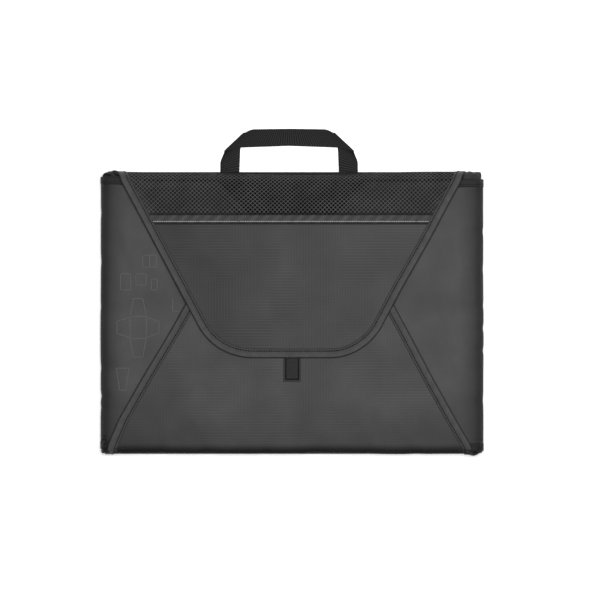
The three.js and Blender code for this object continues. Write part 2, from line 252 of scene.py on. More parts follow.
class Finish:
    """A material in the making."""

    def __init__(self, name, base, roughness, gloss=0.2, **fixed):
        self.material = bpy.data.materials.new(name)
        self.material.use_nodes = True
        self.tree = self.material.node_tree
        self.shader = self.tree.nodes["Principled BSDF"]
        self.shader.inputs["Base Color"].default_value = (*base, 1)
        self.shader.inputs["Roughness"].default_value = roughness
        self.shader.inputs["Specular IOR Level"].default_value = gloss
        self.material.diffuse_color = (*base, 1)
        for key, value in fixed.items():
            self.shader.inputs[key.replace("_", " ").title()].default_value = value

    def node(self, kind, settings, *values, at=None, output=0, **named):
        """A node with its settings, and its sockets by order, by number (at) and by name."""
        made = self.tree.nodes.new(kind)
        for key, value in settings.items():
            setattr(made, key, value)
        for key, value in [*enumerate(values), *(at or {}).items(), *named.items()]:
            socket = made.inputs[key] if isinstance(key, int) else made.inputs[
                key.replace("_", " ")]
            if isinstance(value, Wire):
                self.tree.links.new(value.socket, socket)
            else:
                socket.default_value = value
        return Wire(self, made.outputs[output])

    def along(self, axis):
        """Distance over the cloth in metres: 0 along the fold or seam, 1 across it."""
        place = self.node("ShaderNodeUVMap", {"uv_map": "Cloth"})
        return self.node("ShaderNodeSeparateXYZ", {}, place, output=axis)

    def cloud(self, size, detail=2.0):
        """Smooth noise between 0 and 1 with features of about this size in metres."""
        place = self.node("ShaderNodeUVMap", {"uv_map": "Cloth"})
        return self.node(
            "ShaderNodeTexNoise", {"noise_dimensions": "2D"},
            Vector=place, Scale=1 / size, Detail=detail)

    def shade(self, amount):
        """Multiplies the base colour by a value."""
        grey = self.node("ShaderNodeCombineColor", {}, amount, amount, amount)
        base = tuple(self.shader.inputs["Base Color"].default_value)
        mixed = self.node("ShaderNodeMix", {"data_type": "RGBA", "blend_type": "MULTIPLY"},
                          1.0, at={6: base, 7: grey}, output=2)
        self.tree.links.new(mixed.socket, self.shader.inputs["Base Color"])

    def relief(self, height, distance, strength=1.0):
        """Small relief from a height between 0 and 1, scaled to distance in metres."""
        bump = self.node(
            "ShaderNodeBump", {}, Strength=strength, Distance=distance, Height=height)
        self.tree.links.new(bump.socket, self.shader.inputs["Normal"])

    def roughness(self, value):
        self.tree.links.new(value.socket, self.shader.inputs["Roughness"])


def sizes():
    """The folder's sizes as they are set now."""
    return bpy.context.scene.folder_sizes


def colours():
    """The folder's colours as they are set now."""
    return bpy.context.scene.folder_colours


def made_once(function):
    """Keeps the material that a function makes, so that pieces share it."""
    made = []

    def wrapper():
        if not made:
            made.append(function(function.__name__))
        return made[0]
    return wrapper


def woven(u, v, pitch):
    """A plain weave's small checks, between 0 and 1."""
    return u.wave(pitch) * v.wave(pitch) * 0.5 + 0.5


@made_once
def plain_weave(name):
    f = Finish(name, colours().plain, 0.5, 0.12, sheen_weight=0.03, sheen_roughness=0.4)
    u, v = f.along(0), f.along(1)
    weave = woven(u, v, 0.0009)
    mottle = f.cloud(0.05, 3.0)
    fleck = f.cloud(0.0011, 1.0)
    # Painted shade: darker over the rolled edge, where the cloth turns away from the light, and
    # towards the wing's two ends, where the light falls off.
    painted_edge_shading = v.ramp(0.004, 0.040, 0.3, 1.0) * u.absolute().ramp(0.07, 0.155, 1.0, 0.86)
    # Painted shade: the part of a side wing that the flap covers is painted darker, standing in
    # for the shade under the flap and its netting.
    painted_under_flap_shade = (v + u * UNDER_FLAP_SLOPE).ramp(
        UNDER_FLAP_START, UNDER_FLAP_START + UNDER_FLAP_SHADE_SPAN, 1.0, 0.22)
    f.shade((mottle * 0.62 + 0.62 + fleck * 0.22 + weave * 0.08) * painted_edge_shading * painted_under_flap_shade)
    f.roughness(mottle * 0.16 + 0.42)
    f.relief(weave * 0.5 + fleck * 0.5, 0.00022)
    return f.material


def ripstop(name, colour, shading, gloss=0.2, sheen=0.05):
    """Ripstop cloth whose colour is also multiplied by shading(u, v)."""
    f = Finish(name, colour, 0.6, gloss, sheen_weight=sheen, sheen_roughness=0.45)
    u, v = f.along(0), f.along(1)
    pitch = sizes().ripstop
    patchy = f.cloud(0.06, 1.0).ramp(0.35, 0.65)
    across = u.swell(pitch).power(4.0) * (0.65 - patchy * 0.5)
    down = v.swell(pitch).power(4.0) * (patchy * 0.75 + 0.25)
    grid = across.greatest(down)
    weave = woven(u, v, 0.00085)
    mottle = f.cloud(0.048, 3.0)
    fleck = f.cloud(0.0012, 1.0)
    f.shade((mottle * 0.44 + 0.57 + grid * 0.15 + weave * 0.06 + fleck * 0.18) * shading(u, v))
    f.roughness(0.60 - grid * 0.12)
    f.relief(grid * 0.6 + weave * 0.15 + fleck * 0.25, 0.00014)
    return f.material


@made_once
def bottom_ripstop(name):
    def shading(u, v):
        # Painted shade over the rolled lower edge, where the cloth turns away from the light; the
        # cloth is also darker towards its left end.
        roll = v.ramp(0.0065, 0.022, 0.03, 0.84) + v.ramp(0.022, 0.075, 0.0, 0.16)
        return roll * u.ramp(-0.19, -0.10, 0.80, 1.0)
    return ripstop(name, colours().ripstop, shading, 0.05, 0.0)


@made_once
def flap_ripstop(name):
    hem = band_lines()[1] * MM

    def shading(u, v):
        # Painted light: the flap's left part darker and its right part lighter, as light from the
        # right falls on its low tent; painted shadow just below the seam band.
        return u.ramp(-0.15, 0.03, 0.72, 1.0) * v.ramp(hem, hem + 0.0024, 0.3, 1.0)
    return ripstop(name, colours().flap, shading, 0.12, 0.03)


@made_once
def seam_band_weave(name):
    f = Finish(name, colours().band, 0.6, sheen_weight=0.05)
    u, v = f.along(0), f.along(1)
    pitch = sizes().ripstop
    grid = u.swell(pitch).power(5.0)
    # Painted shading of the puckers: dark and light diagonal streaks where the band puckers.
    pucker = f.node("ShaderNodeMath", {"operation": "SINE"}, (u + v * 0.9) * 470.0)
    painted_pucker_shading = (pucker * f.cloud(0.02, 1.0) * 0.5 + 0.5).power(2.0)
    # Painted shadow along both edges of the band, darkest at its lower edge.
    rim = v.ramp(0.0003, 0.0021, 0.2, 1.0) * v.ramp(0.0094, 0.0107, 1.0, 0.35)
    f.shade((grid * 0.08 + 0.6 + painted_pucker_shading * 0.8) * rim)
    f.relief(grid, 0.0002)
    return f.material


def bound_edge_tape(name, colour):
    """Twill tape folded round a cloth's edge, sewn down along its inner side."""
    f = Finish(name, colour, 0.62, 0.16, sheen_weight=0.04)
    u, v = f.along(0), f.along(1)
    rib = (u + v * 0.9).swell(0.0019)
    wear = f.cloud(0.009, 3.0)
    # Painted shade along the tape's outer fold, in the groove of its stitch row and at its sewn
    # inner edge, and a painted highlight just inside the fold.
    fold = v.ramp(0.0001, 0.0021, 0.16, 1.0)
    seam = (v - STITCH_INSET * MM).absolute().ramp(0.0004, 0.0013, 0.72, 1.0)
    inner = v.ramp(sizes().tape - 0.0014, sizes().tape - 0.0004, 1.0, 0.45)
    painted_edge_shading = v.ramp(0.0025, 0.0075, 1.14, 0.95)
    f.shade((rib * 0.30 + 0.58 + wear * 0.5) * painted_edge_shading * fold * seam * inner)
    f.relief(rib, 0.00025)
    return f.material


@made_once
def twill_tape(name):
    return bound_edge_tape(name, colours().tape)


# The edge tape again with the darker colour: painted shade for the tapes under the flap and its
# netting.
@made_once
def side_twill_tape(name):
    return bound_edge_tape(name, colours().side_tape)


@made_once
def ribbed_webbing(name):
    f = Finish(name, colours().webbing, 0.6, 0.07, sheen_weight=0.02)
    u, v = f.along(0), f.along(1)
    rib = u.swell(0.0026).power(0.8)
    strand = v.swell(0.0019)
    fleck = f.cloud(0.0012, 1.0)
    # Painted shadow: the legs are darker next to each mitre fold, where the grip lies over them.
    painted_fold_shadow = ((u - HANDLE_RUN * MM / 2).absolute() - HANDLE_FOLD_RUN * MM).ramp(
        0.001, 0.016, 0.25, 1.0)
    grip = (u - HANDLE_RUN * MM / 2).absolute().ramp(
        HANDLE_FOLD_RUN * MM - 0.001, HANDLE_FOLD_RUN * MM, 1.0, 0.0)
    weave = rib * 1.0 + 0.1 + rib * strand * 0.9 + fleck * 0.5
    f.shade(weave * painted_fold_shadow.greatest(grip))
    f.relief(rib * 0.75 + strand * 0.25, 0.0005)
    return f.material


@made_once
def netting_thread(name):
    f = Finish(name, colours().netting, 0.6)
    u, v = f.along(0), f.along(1)
    ply = (u + v).swell(0.0008)
    hem = band_lines()[0] * MM
    # Painted shade: the thread darker over the rolled edge and in a line just above the seam
    # band.
    roll = v.ramp(0.001, 0.011, 0.25, 1.0)
    drape = f.cloud(0.03, 2.0) * 0.9 + 0.6
    f.shade((ply * 0.5 + 0.75) * drape * roll * v.ramp(hem - 0.0030, hem - 0.0004, 1.0, 0.25))
    f.relief(ply, 0.00012)
    return f.material


@made_once
def loop_pile(name):
    f = Finish(name, colours().pile, 0.9, 0.1, sheen_weight=0.12, sheen_roughness=0.6)
    fluff = f.cloud(0.0011, 3.0)
    patchy = f.cloud(0.003, 2.0)
    middle, half = (LOOP_LOW + LOOP_HIGH) / 2 * MM, (LOOP_HIGH - LOOP_LOW) / 2 * MM
    across, down = ((f.along(k) - middle[k]).absolute() - half[k] for k in (0, 1))
    inside = across.greatest(down) * -1.0
    # Painted shade in the groove of the stitch row round the patch.
    seam = (inside - PATCH_SEAM * MM).absolute().ramp(0.0002, 0.0013, 0.1, 1.0)
    f.shade((fluff * 1.0 + 0.35 + patchy * 0.5) * seam * inside.ramp(0.0013, 0.0024, 1.6, 1.0))
    f.relief(fluff, 0.0006)
    return f.material


@made_once
def hook_pile(name):
    f = Finish(name, colours().pile, 0.5)
    u, v = f.along(0), f.along(1)
    hooks = (u.wave(0.0013) * v.wave(0.0013)).absolute()
    f.shade(hooks * 0.9 + 0.5)
    f.relief(hooks, 0.0006)
    return f.material


@made_once
def sewing_thread(name):
    f = Finish(name, colours().thread, 0.6, 0.1)
    twist = (f.along(0) + f.along(1) * 2.0).swell(0.0007)
    f.shade(twist * 0.5 + 0.75)
    f.relief(twist, 0.0001)
    return f.material


@made_once
def reflective_cord(name):
    f = Finish(name, colours().cord, 0.38)
    sparkle = f.cloud(0.0009, 1.0)
    strand = f.along(0).swell(CORD_TWIST * MM).power(1.5)
    f.shade(sparkle * 0.5 + 0.1 + strand * 0.75)
    f.relief(sparkle, 0.0001)
    return f.material


@made_once
def printed_ink(name):
    f = Finish(name, colours().ink, 0.7)
    worn = f.cloud(0.0016, 2.0)
    f.shade(worn * 0.8 + 0.55)
    return f.material


@made_once
def coated_back_weave(name):
    f = Finish(name, (0.030, 0.030, 0.0305), 0.72, sheen_weight=0.1)
    u, v = f.along(0), f.along(1)
    weave = woven(u, v, 0.0012)
    mottle = f.cloud(0.05, 3.0)
    f.shade(mottle * 0.4 + 0.75 + weave * 0.12)
    f.relief(weave, 0.00025)
    return f.material


@made_once
def moulded_board(name):
    f = Finish(name, (0.0050, 0.0050, 0.0052), 0.7, 0.08)
    place = f.node("ShaderNodeTexCoord", {}, output="Object")
    grain = f.node("ShaderNodeTexNoise", {}, Vector=place, Scale=900.0, Detail=2.0)
    scuff = f.node("ShaderNodeTexNoise", {}, Vector=place, Scale=25.0, Detail=4.0)
    f.shade(scuff * 0.5 + 0.75)
    f.roughness(scuff * 0.2 + 0.6)
    f.relief(grain, 0.00015)
    return f.material


@made_once
def studio_floor(name):
    # The floor glows a little: painted light that fills the shadows on it and brightens the
    # folder's sides.
    f = Finish(name, (0.90, 0.90, 0.90), 0.9, 0.0, emission_strength=0.4)
    f.shader.inputs["Emission Color"].default_value = (1, 1, 1, 1)
    return f.material


@made_once
def tucked_weave(name):
    f = Finish(name, colours().tuck, 0.55, 0.15)
    u, v = f.along(0), f.along(1)
    weave = woven(u, v, 0.0010)
    # Painted light: the lumps of the crumpled cloth are painted lighter, the hollows darker.
    painted_crumple_light = f.cloud(0.0045, 2.0).ramp(0.35, 0.7)
    f.shade(painted_crumple_light * 2.6 + 0.35 + weave * 0.2)
    f.relief(weave, 0.00025)
    return f.material


# ---- Mesh building ------------------------------------------------------------------------
def mesh_piece(name, points, faces, places, material):
    """A mesh object from points in millimetres and cloth places in metres, one per point."""
    mesh = bpy.data.meshes.new(name)
    corners = faces.tolist() if isinstance(faces, np.ndarray) else faces
    mesh.from_pydata((np.asarray(points, float) * MM).tolist(), [], corners)
    bm = bmesh.new()
    bm.from_mesh(mesh)
    bmesh.ops.recalc_face_normals(bm, faces=bm.faces)
    bm.to_mesh(mesh)
    bm.free()
    layer = mesh.uv_layers.new(name="Cloth")
    corner = np.zeros(len(mesh.loops), np.int32)
    mesh.loops.foreach_get("vertex_index", corner)
    layer.uv.foreach_set("vector", np.asarray(places, np.float32)[corner].ravel())
    mesh.shade_smooth()
    mesh.materials.append(material)
    piece = bpy.data.objects.new(name, mesh)
    bpy.context.scene.collection.objects.link(piece)
    return piece


def grid_faces(rows, columns):
    """The quads of a grid of points, numbered row by row."""
    i, j = np.meshgrid(np.arange(rows - 1), np.arange(columns - 1), indexing="ij")
    a = (i * columns + j).ravel()
    return np.stack([a, a + 1, a + columns + 1, a + columns], axis=1)


def rim_walls(faces, below):
    """Walls between a sheet and the same sheet numbered `below` further on, at its open edges."""
    edges = np.concatenate([faces[:, [k, (k + 1) % faces.shape[1]]]
                            for k in range(faces.shape[1])])
    key = np.sort(edges, axis=1)
    _, first, count = np.unique(key, axis=0, return_index=True, return_counts=True)
    free = edges[first[count == 1]]
    return np.stack([free[:, 1], free[:, 0], free[:, 0] + below, free[:, 1] + below], axis=1)


def thick_sheet(name, middle, normals, half, faces, places, material):
    """A closed sheet: the middle points moved both ways along their normals by half."""
    half = np.broadcast_to(np.asarray(half, float), len(middle))[:, None]
    points = np.concatenate([middle + normals * half, middle - normals * half])
    count = len(middle)
    walls = rim_walls(faces, count)
    everything = np.concatenate([faces, faces[:, ::-1] + count, walls])
    return mesh_piece(name, points, everything, np.concatenate([places, places]), material)


def grid_normals(points):
    """Normals of a grid of points, rows by columns."""
    across = np.cross(np.gradient(points, axis=0), np.gradient(points, axis=1))
    return across / np.maximum(np.linalg.norm(across, axis=2, keepdims=True), 1e-9)


def tube_faces(count, around, start=0, cyclic=False):
    """Faces of a tube through rings of points, closed by caps or on itself."""
    i, j = np.meshgrid(np.arange(count if cyclic else count - 1), np.arange(around),
                       indexing="ij")
    i, j = i.ravel(), j.ravel()
    nxt, turn = (i + 1) % count, (j + 1) % around
    faces = (np.stack([i * around + j, i * around + turn, nxt * around + turn,
                       nxt * around + j], axis=1) + start).tolist()
    if not cyclic:
        faces += [list(range(start, start + around))[::-1],
                  [start + (count - 1) * around + k for k in range(around)]]
    return faces


def closed_tube(name, rings, places, material, cyclic=False):
    """A closed surface through rings of points: an array of rings by points by 3."""
    count, around, _ = rings.shape
    return mesh_piece(name, rings.reshape(-1, 3), tube_faces(count, around, cyclic=cyclic),
                      places, material)


def ripples(x, y, size, seed, count=9):
    """Smooth waves of about this size in millimetres, mostly between -1 and 1."""
    rng = np.random.default_rng(seed)
    total = 0.0
    for _ in range(count):
        turn = rng.uniform(0, math.pi)
        length = size * rng.uniform(0.7, 1.8)
        phase = rng.uniform(0, 2 * math.pi)
        total = total + np.sin(
            (x * math.cos(turn) + y * math.sin(turn)) * 2 * math.pi / length + phase)
    return total / math.sqrt(count)


def crease(x, y, start, end, width, height):
    """A soft ridge between two points, fading out at both ends."""
    start, end = np.array(start, float), np.array(end, float)
    way = end - start
    length = np.linalg.norm(way)
    way = way / length
    t = (x - start[0]) * way[0] + (y - start[1]) * way[1]
    off = (x - start[0]) * -way[1] + (y - start[1]) * way[0]
    fade = np.clip(t / length * 4, 0, 1) * np.clip((1 - t / length) * 4, 0, 1)
    return height * fade * np.exp(-((off / width) ** 2))


def creased(wave, x, y, ridges):
    """A wave with soft ridges added to it."""
    for start, end, width, height in ridges:
        wave = wave + crease(x, y, start, end, width, height)
    return wave


def ease(t):
    """Goes smoothly from 0 to 1 and stays there."""
    t = np.clip(t, 0, 1)
    return t * t * (3 - 2 * t)


# ---- The folded cloth surfaces --------------------------------------------------------------
EQUATOR = 9.4  # height of the folder's widest line
LOWER_ROLL = 8.0  # how far a gusset rolls in below that line
LOWER_END = 1.7  # height of a gusset's lower edge

# Creases in the cloth: (start, end, width, height), seen from above.
SIDE_CREASES = (((-214, -60), (-150, -30), 8, 1.2), ((205, -95), (168, 60), 9, 1.2),
                ((190, 90), (214, -20), 6, -1.2), ((-200, 120), (-176, 20), 8, 1.1))
BOTTOM_CREASES = (((112, -6), (134, -44), 4, 1.3), ((122, -30), (160, -100), 6, 1.0),
                  ((-150, -120), (-60, -70), 12, 1.0), ((-20, -95), (90, -140), 14, 1.0))
FLAP_CREASES = (((-10, 98), (-18, -30), 8, 1.0), ((-120, 95), (-60, 10), 9, 1.0),
                ((130, 90), (70, -20), 11, 1.0))
# Puckers along the folded edges: (place, width, height).
LEFT_PUCKERS = ((-98, 4, 1.6), (-112, 3, 1.1), (-64, 5, 0.9), (8, 4, 0.8), (61, 6, 1.0),
                (118, 5, 0.8))
RIGHT_PUCKERS = ((-44, 3.5, 1.3), (-18, 4, 1.6), (9, 3, 1.0), (52, 5, 0.8), (96, 4, 1.2),
                 (-103, 6, 0.9))
BOTTOM_PUCKERS = ((-152, 6, 1.2), (-96, 8, 1.0), (-31, 6, 0.9), (26, 9, 1.1), (93, 5, 0.9),
                  (148, 7, 1.2))
# How much longer a side wing's cloth is at its upper and lower ends, near the folder's side.
SIDE_FLARES = {"left": (4.9, 4.5), "right": (1.8, 7.0)}


def flap_half_width(y):
    """Half the flap's width at a height y on the body."""
    run = (FLAP_HIGH[1] - y) / math.tan(math.radians(FLAP_SIDE_ANGLE))
    return FLAP_HIGH[0] - run


def bottom_half_width(y):
    """Half the bottom wing's width at a height y on the body."""
    run = (y - BOTTOM_LOW[1]) / math.tan(math.radians(BOTTOM_SIDE_ANGLE))
    return BOTTOM_HIGH[0] - run


SIDE_LEVEL = (SIDE_LOW[2] + SIDE_HIGH[2]) / 2
BOTTOM_LEVEL = (BOTTOM_LOW[2] + BOTTOM_HIGH[2]) / 2
FLAP_LEVEL = (FLAP_LOW[2] + FLAP_HIGH[2]) / 2


def near(distance, reach):
    """1 at a line, falling to 0 away from it over about this reach."""
    return np.exp(-np.maximum(distance, 0) / reach)


def side_level(x, y):
    """Height of the side wings' middle surface."""
    z = SIDE_LEVEL - 0.6 - 2.6 * near(HALF_WIDTH - np.abs(x), 15)
    wave = 0.75 * ripples(x, y, 95, 3) + 0.22 * ripples(x, y, 34, 4)
    wave = creased(wave, x, y, SIDE_CREASES)
    covered = np.maximum(bottom_half_width(y), flap_half_width(y))
    showing = ease((np.abs(x) - covered + 6) / 22)
    return z + (0.75 + 0.85 * showing) * np.tanh(wave)


def bottom_level(x, y):
    """Height of the bottom wing's middle surface, lower near the folder's lower edge."""
    inside = (bottom_half_width(y) - np.abs(x)) * 0.88
    wave = 0.55 * ripples(x, y, 85, 11) + 0.16 * ripples(x, y, 30, 12)
    wave = 0.8 * np.tanh(creased(wave, x, y, BOTTOM_CREASES)) * ease((inside + 2) / 30)
    return BOTTOM_LEVEL + 0.5 + wave - 3.0 * near(y + HALF_HEIGHT, 24)


def flap_level(x, y):
    """Height of the flap's middle surface: a low tent that droops to what is under its edges."""
    edge = 24.7 + 0.9 * ease((75 - y) / 45)
    side = (flap_half_width(y) - np.abs(x)) * 0.88
    tip = y - FLAP_LOW[1]
    inside = np.minimum(side, np.maximum(tip, 0) + 6)
    ridge = FLAP_LEVEL + 0.7 - 1.9 * ease(np.abs(x + 14) / 150)
    wave = 0.55 * ripples(x, y, 95, 21) + 0.16 * ripples(x, y, 33, 22)
    wave = 0.8 * np.tanh(creased(wave, x, y, FLAP_CREASES)) * ease((inside + 2) / 40)
    return edge + (ridge - edge) * ease((inside + 4) / 70) + wave


def bottom_drift(x, y):
    """How far the bottom wing's sides lie to the left of a true taper."""
    left = np.interp(y, [-167, -150, -125, -79, -20, 38], [-2.5, -5.5, -8.6, -7.4, -4.1, -3.0])
    right = np.interp(y, [-167, -132, -79, -20], [-2.0, -2.9, -3.7, -2.9])
    return left * ease((-x - 40) / 60) + right * ease((x - 40) / 60)


def flap_drift(x, y):
    """How far the flap's sides lie to the left of a true taper."""
    right = np.interp(y, [-20, 27, 86], [-2.0, -2.3, 0.0])
    return -2.7 * ease((-x - 30) / 60) + right * ease((x - 30) / 60)


class Fold:
    """Cloth that rises round one edge of the folder and lies inwards over it.

    A place on it is (along, reach): along the edge, and over the cloth from the widest line,
    positive inwards over the top and negative downwards to the back.
    """

    def __init__(self, edge, outward, level, proud, drift=None, sag=0.0, puckers=()):
        self.edge = edge
        self.proud = proud
        self.drift = drift
        self.sag = sag
        self.puckers = puckers
        self.outward = np.array(outward, float)
        self.tangent = np.abs(np.array([outward[1], outward[0]], float))
        self.level = level
        self.roll = sizes().roll * METRE
        rise = SIDE_LEVEL + 2 - EQUATOR
        self.arc = math.pi / 2 * math.sqrt((self.roll ** 2 + rise ** 2) / 2)
        rise = EQUATOR - LOWER_END
        self.lower_arc = math.pi / 2 * math.sqrt((LOWER_ROLL ** 2 + rise ** 2) / 2)
        self.sign = 1.0
        upward = float(self.normal(np.array([0.0]), np.array([60.0]))[0, 2])
        self.sign = math.copysign(1.0, upward)

    def reach_of(self, inset):
        """Reach of a place that lies this far inside the folder's edge."""
        return self.arc + inset - self.roll

    def inset(self, reach):
        """How far a reach lies inside the folder's edge."""
        up = np.clip(reach / self.arc, 0, 1) * math.pi / 2
        down = np.clip(-reach / self.lower_arc, 0, 1) * math.pi / 2
        on_top = np.maximum(reach - self.arc, 0)
        return self.roll * (1 - np.cos(up)) + on_top + LOWER_ROLL * (1 - np.cos(down))

    def raw(self, along, reach):
        """Points on the cloth's middle surface."""
        inset = self.inset(reach)
        wobble = 0.35 * ripples(along, along * 0, 120, 5 + int(self.edge)) + self.proud
        wobble = wobble - self.sag * np.exp(-((along / 120) ** 2))
        pinch = sum(height * np.exp(-(((along - place) / width) ** 2))
                    for place, width, height in self.puckers)
        away = self.edge - inset + (wobble - 0.6 * pinch) * np.clip(1 - inset / 40, 0, 1)
        plan = away[..., None] * self.outward + along[..., None] * self.tangent
        if self.drift:
            plan[..., 0] += self.drift(plan[..., 0], plan[..., 1])
        up = np.clip(reach / self.arc, 0, 1) * math.pi / 2
        down = np.clip(-reach / self.lower_arc, 0, 1) * math.pi / 2
        top = self.level(plan[..., 0], plan[..., 1]) - pinch * near(inset - 6, 12)
        z = EQUATOR + (top - EQUATOR) * np.sin(up) - (EQUATOR - LOWER_END) * np.sin(down)
        return np.concatenate([plan, z[..., None]], axis=-1)

    def normal(self, along, reach):
        """Directions that point out of the cloth."""
        step = 0.3
        a = self.raw(along + step, reach) - self.raw(along - step, reach)
        r = self.raw(along, reach + step) - self.raw(along, reach - step)
        n = np.cross(a, r) * self.sign
        return n / np.maximum(np.linalg.norm(n, axis=-1, keepdims=True), 1e-9)

    def at(self, along, reach, lift=0.0):
        """Points this far above the cloth's middle surface."""
        along, reach = np.asarray(along, float), np.asarray(reach, float)
        lift = np.asarray(lift, float)
        return self.raw(along, reach) + self.normal(along, reach) * lift[..., None]


def band_lines():
    """Reach of the seam band's upper and lower edges."""
    fold = folds()["top"]
    return fold.reach_of(HALF_HEIGHT - BAND_HIGH[1]), fold.reach_of(HALF_HEIGHT - BAND_LOW[1])


def folds():
    """The four folds of the folder, by the name that its bodies start with."""
    return {
        "top": Fold(HALF_HEIGHT, (0, 1), flap_level, -0.2, flap_drift, sag=4.2),
        "bottom": Fold(HALF_HEIGHT, (0, -1), bottom_level, -1.3, bottom_drift,
                       puckers=BOTTOM_PUCKERS),
        "left": Fold(HALF_WIDTH, (-1, 0), side_level, 0.7, puckers=LEFT_PUCKERS),
        "right": Fold(HALF_WIDTH, (1, 0), side_level, 0.3, puckers=RIGHT_PUCKERS),
    }


def bend_over(piece, name, fold):
    """The piece crosses the fold between a gusset and its wing; here it is only baked in place,
    not bent.
    """
    out = fold.outward
    end = Vector((*(out * (fold.edge - fold.roll - 1)), SIDE_LEVEL)) * MM
    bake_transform(piece)


def bend_up(piece, fold):
    """The piece crosses the fold between the back and a gusset; here it is only baked in place,
    not bent.
    """
    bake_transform(piece)


def cloth_grid(name, fold, along, reach, material):
    """A cloth piece over a grid of places, arrays of rows by columns."""
    half = sizes().cloth * METRE / 2
    middle = fold.at(along, reach)
    normals = fold.normal(along, reach)
    places = np.stack([along, reach], axis=-1).reshape(-1, 2) * MM
    return thick_sheet(name, middle.reshape(-1, 3), normals.reshape(-1, 3), half,
                       grid_faces(*along.shape), places, material)


def run_of(line):
    """How far along an open line each of its points is."""
    gaps = np.linalg.norm(np.diff(line, axis=0), axis=1)
    return np.concatenate([[0], np.cumsum(gaps)])


def points_at(line, run, at):
    """Points this far along a flat line."""
    return np.stack([np.interp(at, run, line[:, k]) for k in range(2)], axis=1)


def resampled(line, step):
    """The open line again with points about step apart, and how far along each is."""
    line = np.asarray(line, float)
    run = run_of(line)
    at = np.linspace(0, run[-1], max(2, int(round(run[-1] / step)) + 1))
    return points_at(line, run, at), at


def evenly(line, count):
    """The open line as this many points, evenly spaced."""
    run = run_of(line)
    return points_at(line, run, np.linspace(0, run[-1], count))


def rounded_line(points, radius, steps=10):
    """An open line with its inner corners rounded."""
    points = [np.array(p, float) for p in points]
    line = [points[0]]
    for before, corner, after in zip(points, points[1:], points[2:]):
        back = (before - corner) / np.linalg.norm(before - corner)
        ahead = (after - corner) / np.linalg.norm(after - corner)
        half = math.acos(float(np.clip(back @ ahead, -1, 1))) / 2
        tangent = radius / math.tan(half)
        centre = corner + (back + ahead) / np.linalg.norm(back + ahead) * radius / math.sin(half)
        first, last = corner + back * tangent - centre, corner + ahead * tangent - centre
        turn = math.atan2(first[0] * last[1] - first[1] * last[0], float(first @ last))
        for k in range(steps + 1):
            c, s = math.cos(turn * k / steps), math.sin(turn * k / steps)
            line.append(centre + np.array([first[0] * c - first[1] * s,
                                           first[0] * s + first[1] * c]))
    line.append(points[-1])
    return np.array(line)


def sideways(line, distance):
    """The open line moved to its left by a distance."""
    way = np.gradient(line, axis=0)
    way = way / np.maximum(np.linalg.norm(way, axis=1, keepdims=True), 1e-9)
    left = np.stack([-way[:, 1], way[:, 0]], axis=1)
    return line + left * np.asarray(distance, float).reshape(-1, 1)


def strip(name, fold, edge, profile, material, pucker=0.0, step=2.2, seed=1):
    """A sewn strip along an edge line. profile is its section: (inwards, lift) points.

    Inwards is to the left of the line. Puckers lift the strip a little as it runs.
    """
    line, run = resampled(edge, step)
    rng_wave = ripples(run, run * 0, 11, seed) + 0.7 * ripples(run, run * 0, 5.5, seed + 1)
    rings, places = [], []
    widest = max(abs(t) for t, _ in profile)
    for inwards, lift in profile:
        moved = sideways(line, inwards)
        share = math.sin(math.pi * min(max(inwards / widest, 0), 1))
        wave = pucker * share * np.roll(rng_wave, int(inwards * 0.5)) * (lift > 0)
        rings.append(fold.at(moved[:, 0], moved[:, 1], lift + wave))
        places.append(np.stack([run, np.full(len(run), inwards)], axis=1))
    rings = np.stack(rings, axis=1)
    places = np.stack(places, axis=1).reshape(-1, 2) * MM
    return closed_tube(name, rings, places, material)


def tape_profile(width, half=0.85):
    """Section of a tape folded round an edge: thin at its sewn edge, round at its fold."""
    top = [(width, half * 0.62), (width - 0.35, half * 0.9), (width - 1.6, half * 0.86),
           (width * 0.62, half * 1.08), (width * 0.35, half * 1.12), (width * 0.14, half * 1.05),
           (0.5, half * 0.8), (0.12, half * 0.45)]
    return top + [(-0.02, 0.0)] + [(t, -h) for t, h in reversed(top)]


def flat_profile(width, half):
    """Section of a strip with two rounded edges."""
    top = [(width - 0.1, half * 0.5), (width - 0.5, half * 0.95), (width * 0.7, half * 1.05),
           (width * 0.3, half * 1.05), (0.5, half * 0.95), (0.1, half * 0.5)]
    return [(width, 0.0)] + top + [(0.0, 0.0)] + [(t, -h) for t, h in reversed(top)]


def stitch_row(name, fold, line, lift, width=0.62):
    """A row of sewing stitches along a line of places."""
    length = sizes().stitch * METRE
    points, _ = resampled(line, 0.5)
    run = run_of(points)
    count = int(run[-1] // (length + STITCH_GAP))
    middle = (np.arange(count) + 0.5) * (length + STITCH_GAP)
    place = points_at(points, run, middle)
    ahead = points_at(points, run, middle + 0.4)
    centre = fold.at(place[:, 0], place[:, 1], np.full(count, lift))
    forward = fold.at(ahead[:, 0], ahead[:, 1], np.full(count, lift)) - centre
    forward /= np.maximum(np.linalg.norm(forward, axis=1, keepdims=True), 1e-9)
    normal = fold.normal(place[:, 0], place[:, 1])
    side = np.cross(normal, forward)
    stations = [(-0.5, 0.25, -0.35), (-0.3, 0.85, 0.1), (0.0, 1.0, 0.25), (0.3, 0.85, 0.1),
                (0.5, 0.25, -0.35)]
    around = 6  # points round a stitch
    rings = []
    for t, size, up in stations:
        for k in range(around):
            a = 2 * math.pi * k / around
            rings.append(centre + forward * (t * length) + normal * (
                width * (up + size * 0.8 * math.sin(a))) + side * (
                width * size * math.cos(a)))
    points = np.stack(rings, axis=1).reshape(-1, 3)
    per = len(stations) * around
    every = [face for s in range(count)
             for face in tube_faces(len(stations), around, s * per)]
    local = np.tile(np.repeat([[t * length, 0.0] for t, _, _ in stations], around, axis=0),
                    (count, 1)) * MM
    return mesh_piece(name, points, every, local, sewing_thread())


